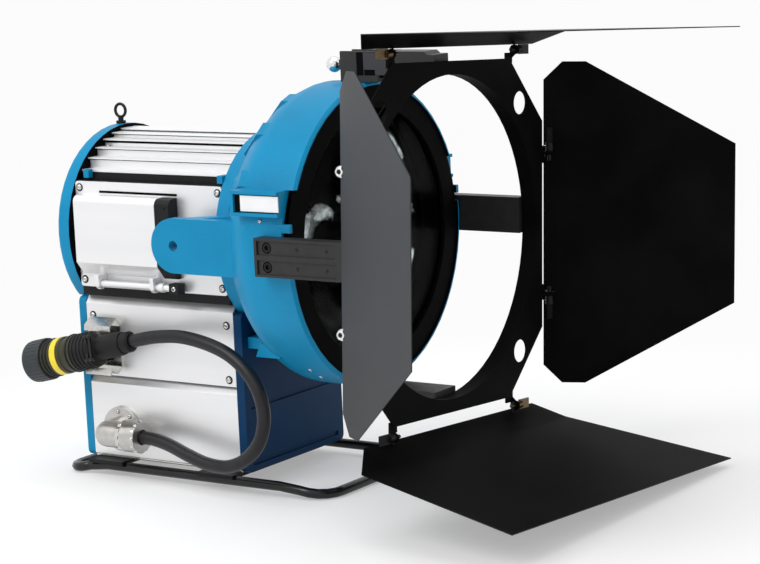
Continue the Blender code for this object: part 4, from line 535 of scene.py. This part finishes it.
# Fins: painted shadow lines on the wall under each lip, a deeper one under the third fin from the top
steps = []
for i in range(6):
    angle = math.radians(6.7 + 8.7 * i)
    x, z = 125 * math.sin(angle), 125 * math.cos(angle) - 1.8
    deep = 3.2 if i == 2 else 1.3
    if i < 5:
        for side in (-1, 1):
            middle = z - deep / 2
            steps.append(bar(at(side * (x - 3.6), 262.8, middle), at(side * (x - 3.6), 499.2, middle),
                             0.5, deep / 2, (1, 0, 0)))
piece("fin_painted_shadow_lines", mesh_from("fin_painted_shadow_lines", steps), BLACK_AND_PAINTED_SHADE, "lamp_head")

# Blue lugs at both ends of the gap under the last fin
lugs = []
for side in (-1, 1):
    lugs.append(bar(at(side * 103, 262.4, 75.5), at(side * 103, 271, 75.5), 7.5, 5.0, (1, 0, 0)))
    lugs.append(bar(at(side * 100, 482, 75.5), at(side * 100, 491, 75.5), 4.5, 5.5, (1, 0, 0)))
piece("gap_lugs", mesh_from("gap_lugs", lugs), BLUE, "lamp_head", 0.8)

# Painted shade: a dark strip round the blank plate in its frame
low, high = (Vector(v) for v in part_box("blank_plate"))
shade_strip_x = (low.x + 0.0004) if low.x < 0 else (high.x - 0.0004)
middle_z = (low.z + high.z) / 2
plate_shade_strip = [bar((shade_strip_x, low.y + 0.001, middle_z), (shade_strip_x, high.y + 0.0075, middle_z), 0.35,
              (high.z - low.z) / 2 / MM + 0.9, (1, 0, 0))]
piece("plate_painted_shade", mesh_from("plate_painted_shade", plate_shade_strip), BLACK_AND_PAINTED_SHADE, "lamp_head")

# Small screws in the ring on each side: two low down, one under the plate frame
rim_screws = []
for side in (-1, 1):
    for x, y, z in ((-109.2, 144.6, -153.7), (-89.6, 143.2, -165.8), (-184.3, 152.6, 39.6)):
        out = Vector((side * -x, 0, z)).normalized()
        rim_screws.append(screw(at(side * -x, y, z) - out * 0.4 * MM, out, 2.6, 1.6))
piece("rim_screws", mesh_from("rim_screws", rim_screws), STEEL, "lamp_head")

# Latch: cheek plates with their keyholes, and the dark joint behind them
cheeks, keyholes = [], []
for side in (-1, 1):
    for y0, y1, z0, z1, half in ((72.5, 110, 203.5, 223.5, 0.5), (72.5, 93.5, 197, 203.5, 0.5)):
        cheeks.append(bar(at(side * 15.5, y0, (z0 + z1) / 2), at(side * 15.5, y1, (z0 + z1) / 2),
                          half, (z1 - z0) / 2, (1, 0, 0)))
    keyholes.append(bar(at(side * 15.1, 94, 200), at(side * 15.1, 109.5, 200), 0.25, 3.4, (1, 0, 0)))
    keyholes.append(bar(at(side * 15.1, 111, 210.5), at(side * 15.1, 120.5, 210.5), 0.25, 14, (1, 0, 0)))
piece("latch_cheeks", mesh_from("latch_cheeks", cheeks), LEAF_OUT, "lamp_head", 0.3)
piece("latch_keyholes", mesh_from("latch_keyholes", keyholes), BLACK_AND_PAINTED_SHADE, "lamp_head")

# Cover: a painted shadow line above it, and screws in its cap and the rod's square end
cover_shadow = [bar(at(-112.3, 334, 54.5), at(-112.3, 459, 54.5), 0.5, 1.4, (1, 0, 0))]
piece("cover_painted_shadow", mesh_from("cover_painted_shadow", cover_shadow), BLACK_AND_PAINTED_SHADE, "lamp_head")
cap_screws = [screw(at(-129.6, 341, 40), (-1, 0, 0), 2.6, 1.2),
              screw(at(-129.6, 350, 25), (-1, 0, 0), 2.0, 1.0)]
piece("cap_screws", mesh_from("cap_screws", cap_screws), BLACK, "lamp_head")
rod_bolt = [screw(at(-127.9, 334.5, -62), (-1, 0, 0), 3.4, 1.4)]
piece("rod_bolts", mesh_from("rod_bolts", rod_bolt), STEEL, "focus")

# Leaf bolts through the hinge edge of each side leaf: a flanged nut on a dark screw end
NUT_FLANGE = [(0, 0), (6.9, 0), (6.9, 1.0), (6.5, 1.3), (0, 1.3)]
NUT = [(0, 1), (5.9, 1), (5.9, 4.4), (5.2, 5.0), (3.1, 5.0), (3.0, 4.2), (0, 4.2)]
SCREW_END = [(0, 4), (2.9, 4), (2.9, 4.7), (1.9, 5.6), (1.2, 5.6), (1.1, 4.6), (0, 4.6)]
for name, side in (("left", -1), ("right", 1)):
    nuts, ends = [], []
    for z in (-93, 93):
        spot = door(side * 227.5, 6.5, z)
        out = door(side * 300, 6.5, z) - door(side * 200, 6.5, z)
        nuts.append(turned(spot, out, NUT_FLANGE, 24))
        nuts.append(turned(spot, out, NUT, 6))
        ends.append(turned(spot, out, SCREW_END, 18))
    label, body = f"leaf_nuts_{name}", f"{name}_leaf"
    piece(label, mesh_from(label, nuts), CHROME, body, 0.2)
    label = f"leaf_screw_ends_{name}"
    piece(label, mesh_from(label, ends), BLACK, body)

# Studio: pale floor, soft light
floor_mesh = bpy.data.meshes.new("floor")
size = 60
floor_mesh.from_pydata([(-size, -size, 0), (size, -size, 0), (size, size, 0), (-size, size, 0)], [],
                       [(0, 1, 2, 3)])
floor = bpy.data.objects.new("floor", floor_mesh)
bpy.context.scene.collection.objects.link(floor)
floor.location.z = -0.0005
floor_mat = material("floor", (0.93, 0.93, 0.93), roughness=0.9, vary=0.004, vary_scale=2, bump=0.0,
                     specular=0.1)


def seen_ray(tree):
    """1 for camera, glossy and transmission rays, 0 for the rays that light the object."""
    path = tree.nodes.new("ShaderNodeLightPath")
    total_rays = path.outputs["Is Camera Ray"]
    for name in ("Is Glossy Ray", "Is Transmission Ray"):
        both = tree.nodes.new("ShaderNodeMath")
        both.operation = "MAXIMUM"
        tree.links.new(total_rays, both.inputs[0])
        tree.links.new(path.outputs[name], both.inputs[1])
        total_rays = both.outputs["Value"]
    return total_rays


# The floor stays matt under the lamp and fades to the white of the backdrop away from it
tree = floor_mat.node_tree
make, join = tree.nodes.new, tree.links.new
white = make("ShaderNodeEmission")
white.inputs["Strength"].default_value = 0.97
coords = make("ShaderNodeTexCoord")
reach = make("ShaderNodeVectorMath")
reach.operation = "LENGTH"
join(coords.outputs["Object"], reach.inputs[0])
fade = make("ShaderNodeMapRange")
fade.interpolation_type = "SMOOTHSTEP"
fade.inputs["From Min"].default_value = 0.3
fade.inputs["From Max"].default_value = 1.15
fade.inputs["To Min"].default_value = 0.35
join(reach.outputs["Value"], fade.inputs["Value"])
share = make("ShaderNodeMath")
share.operation = "MULTIPLY"
join(fade.outputs["Result"], share.inputs[0])
join(seen_ray(tree), share.inputs[1])
blend = make("ShaderNodeMixShader")
join(share.outputs["Value"], blend.inputs["Fac"])
join(tree.nodes["Principled BSDF"].outputs["BSDF"], blend.inputs[1])
join(white.outputs["Emission"], blend.inputs[2])
join(blend.outputs["Shader"], tree.nodes["Material Output"].inputs["Surface"])
floor_mesh.materials.append(floor_mat)

world = bpy.data.worlds.new("studio")
bpy.context.scene.world = world
world.use_nodes = True
background = world.node_tree.nodes["Background"]
background.inputs["Color"].default_value = (1, 1, 1, 1)
sky = world.node_tree.nodes.new("ShaderNodeMapRange")
sky.inputs["To Min"].default_value = 0.74
sky.inputs["To Max"].default_value = 0.97
world.node_tree.links.new(seen_ray(world.node_tree), sky.inputs["Value"])
world.node_tree.links.new(sky.outputs["Result"], background.inputs["Strength"])


def area_light(name, place, target, size, power):
    data = bpy.data.lights.new(name, "AREA")
    data.shape = "DISK"
    data.size = size
    data.energy = power
    lamp = bpy.data.objects.new(name, data)
    bpy.context.scene.collection.objects.link(lamp)
    lamp.location = place
    lamp.rotation_euler = (Vector(target) - Vector(place)).to_track_quat("-Z", "Y").to_euler()


area_light("key", (-3.2, 1.2, 3.4), (0, 0.1, 0.3), 2.4, 80)
area_light("over", (0.0, 0.0, 5.0), (0, 0, 0), 5.0, 90)
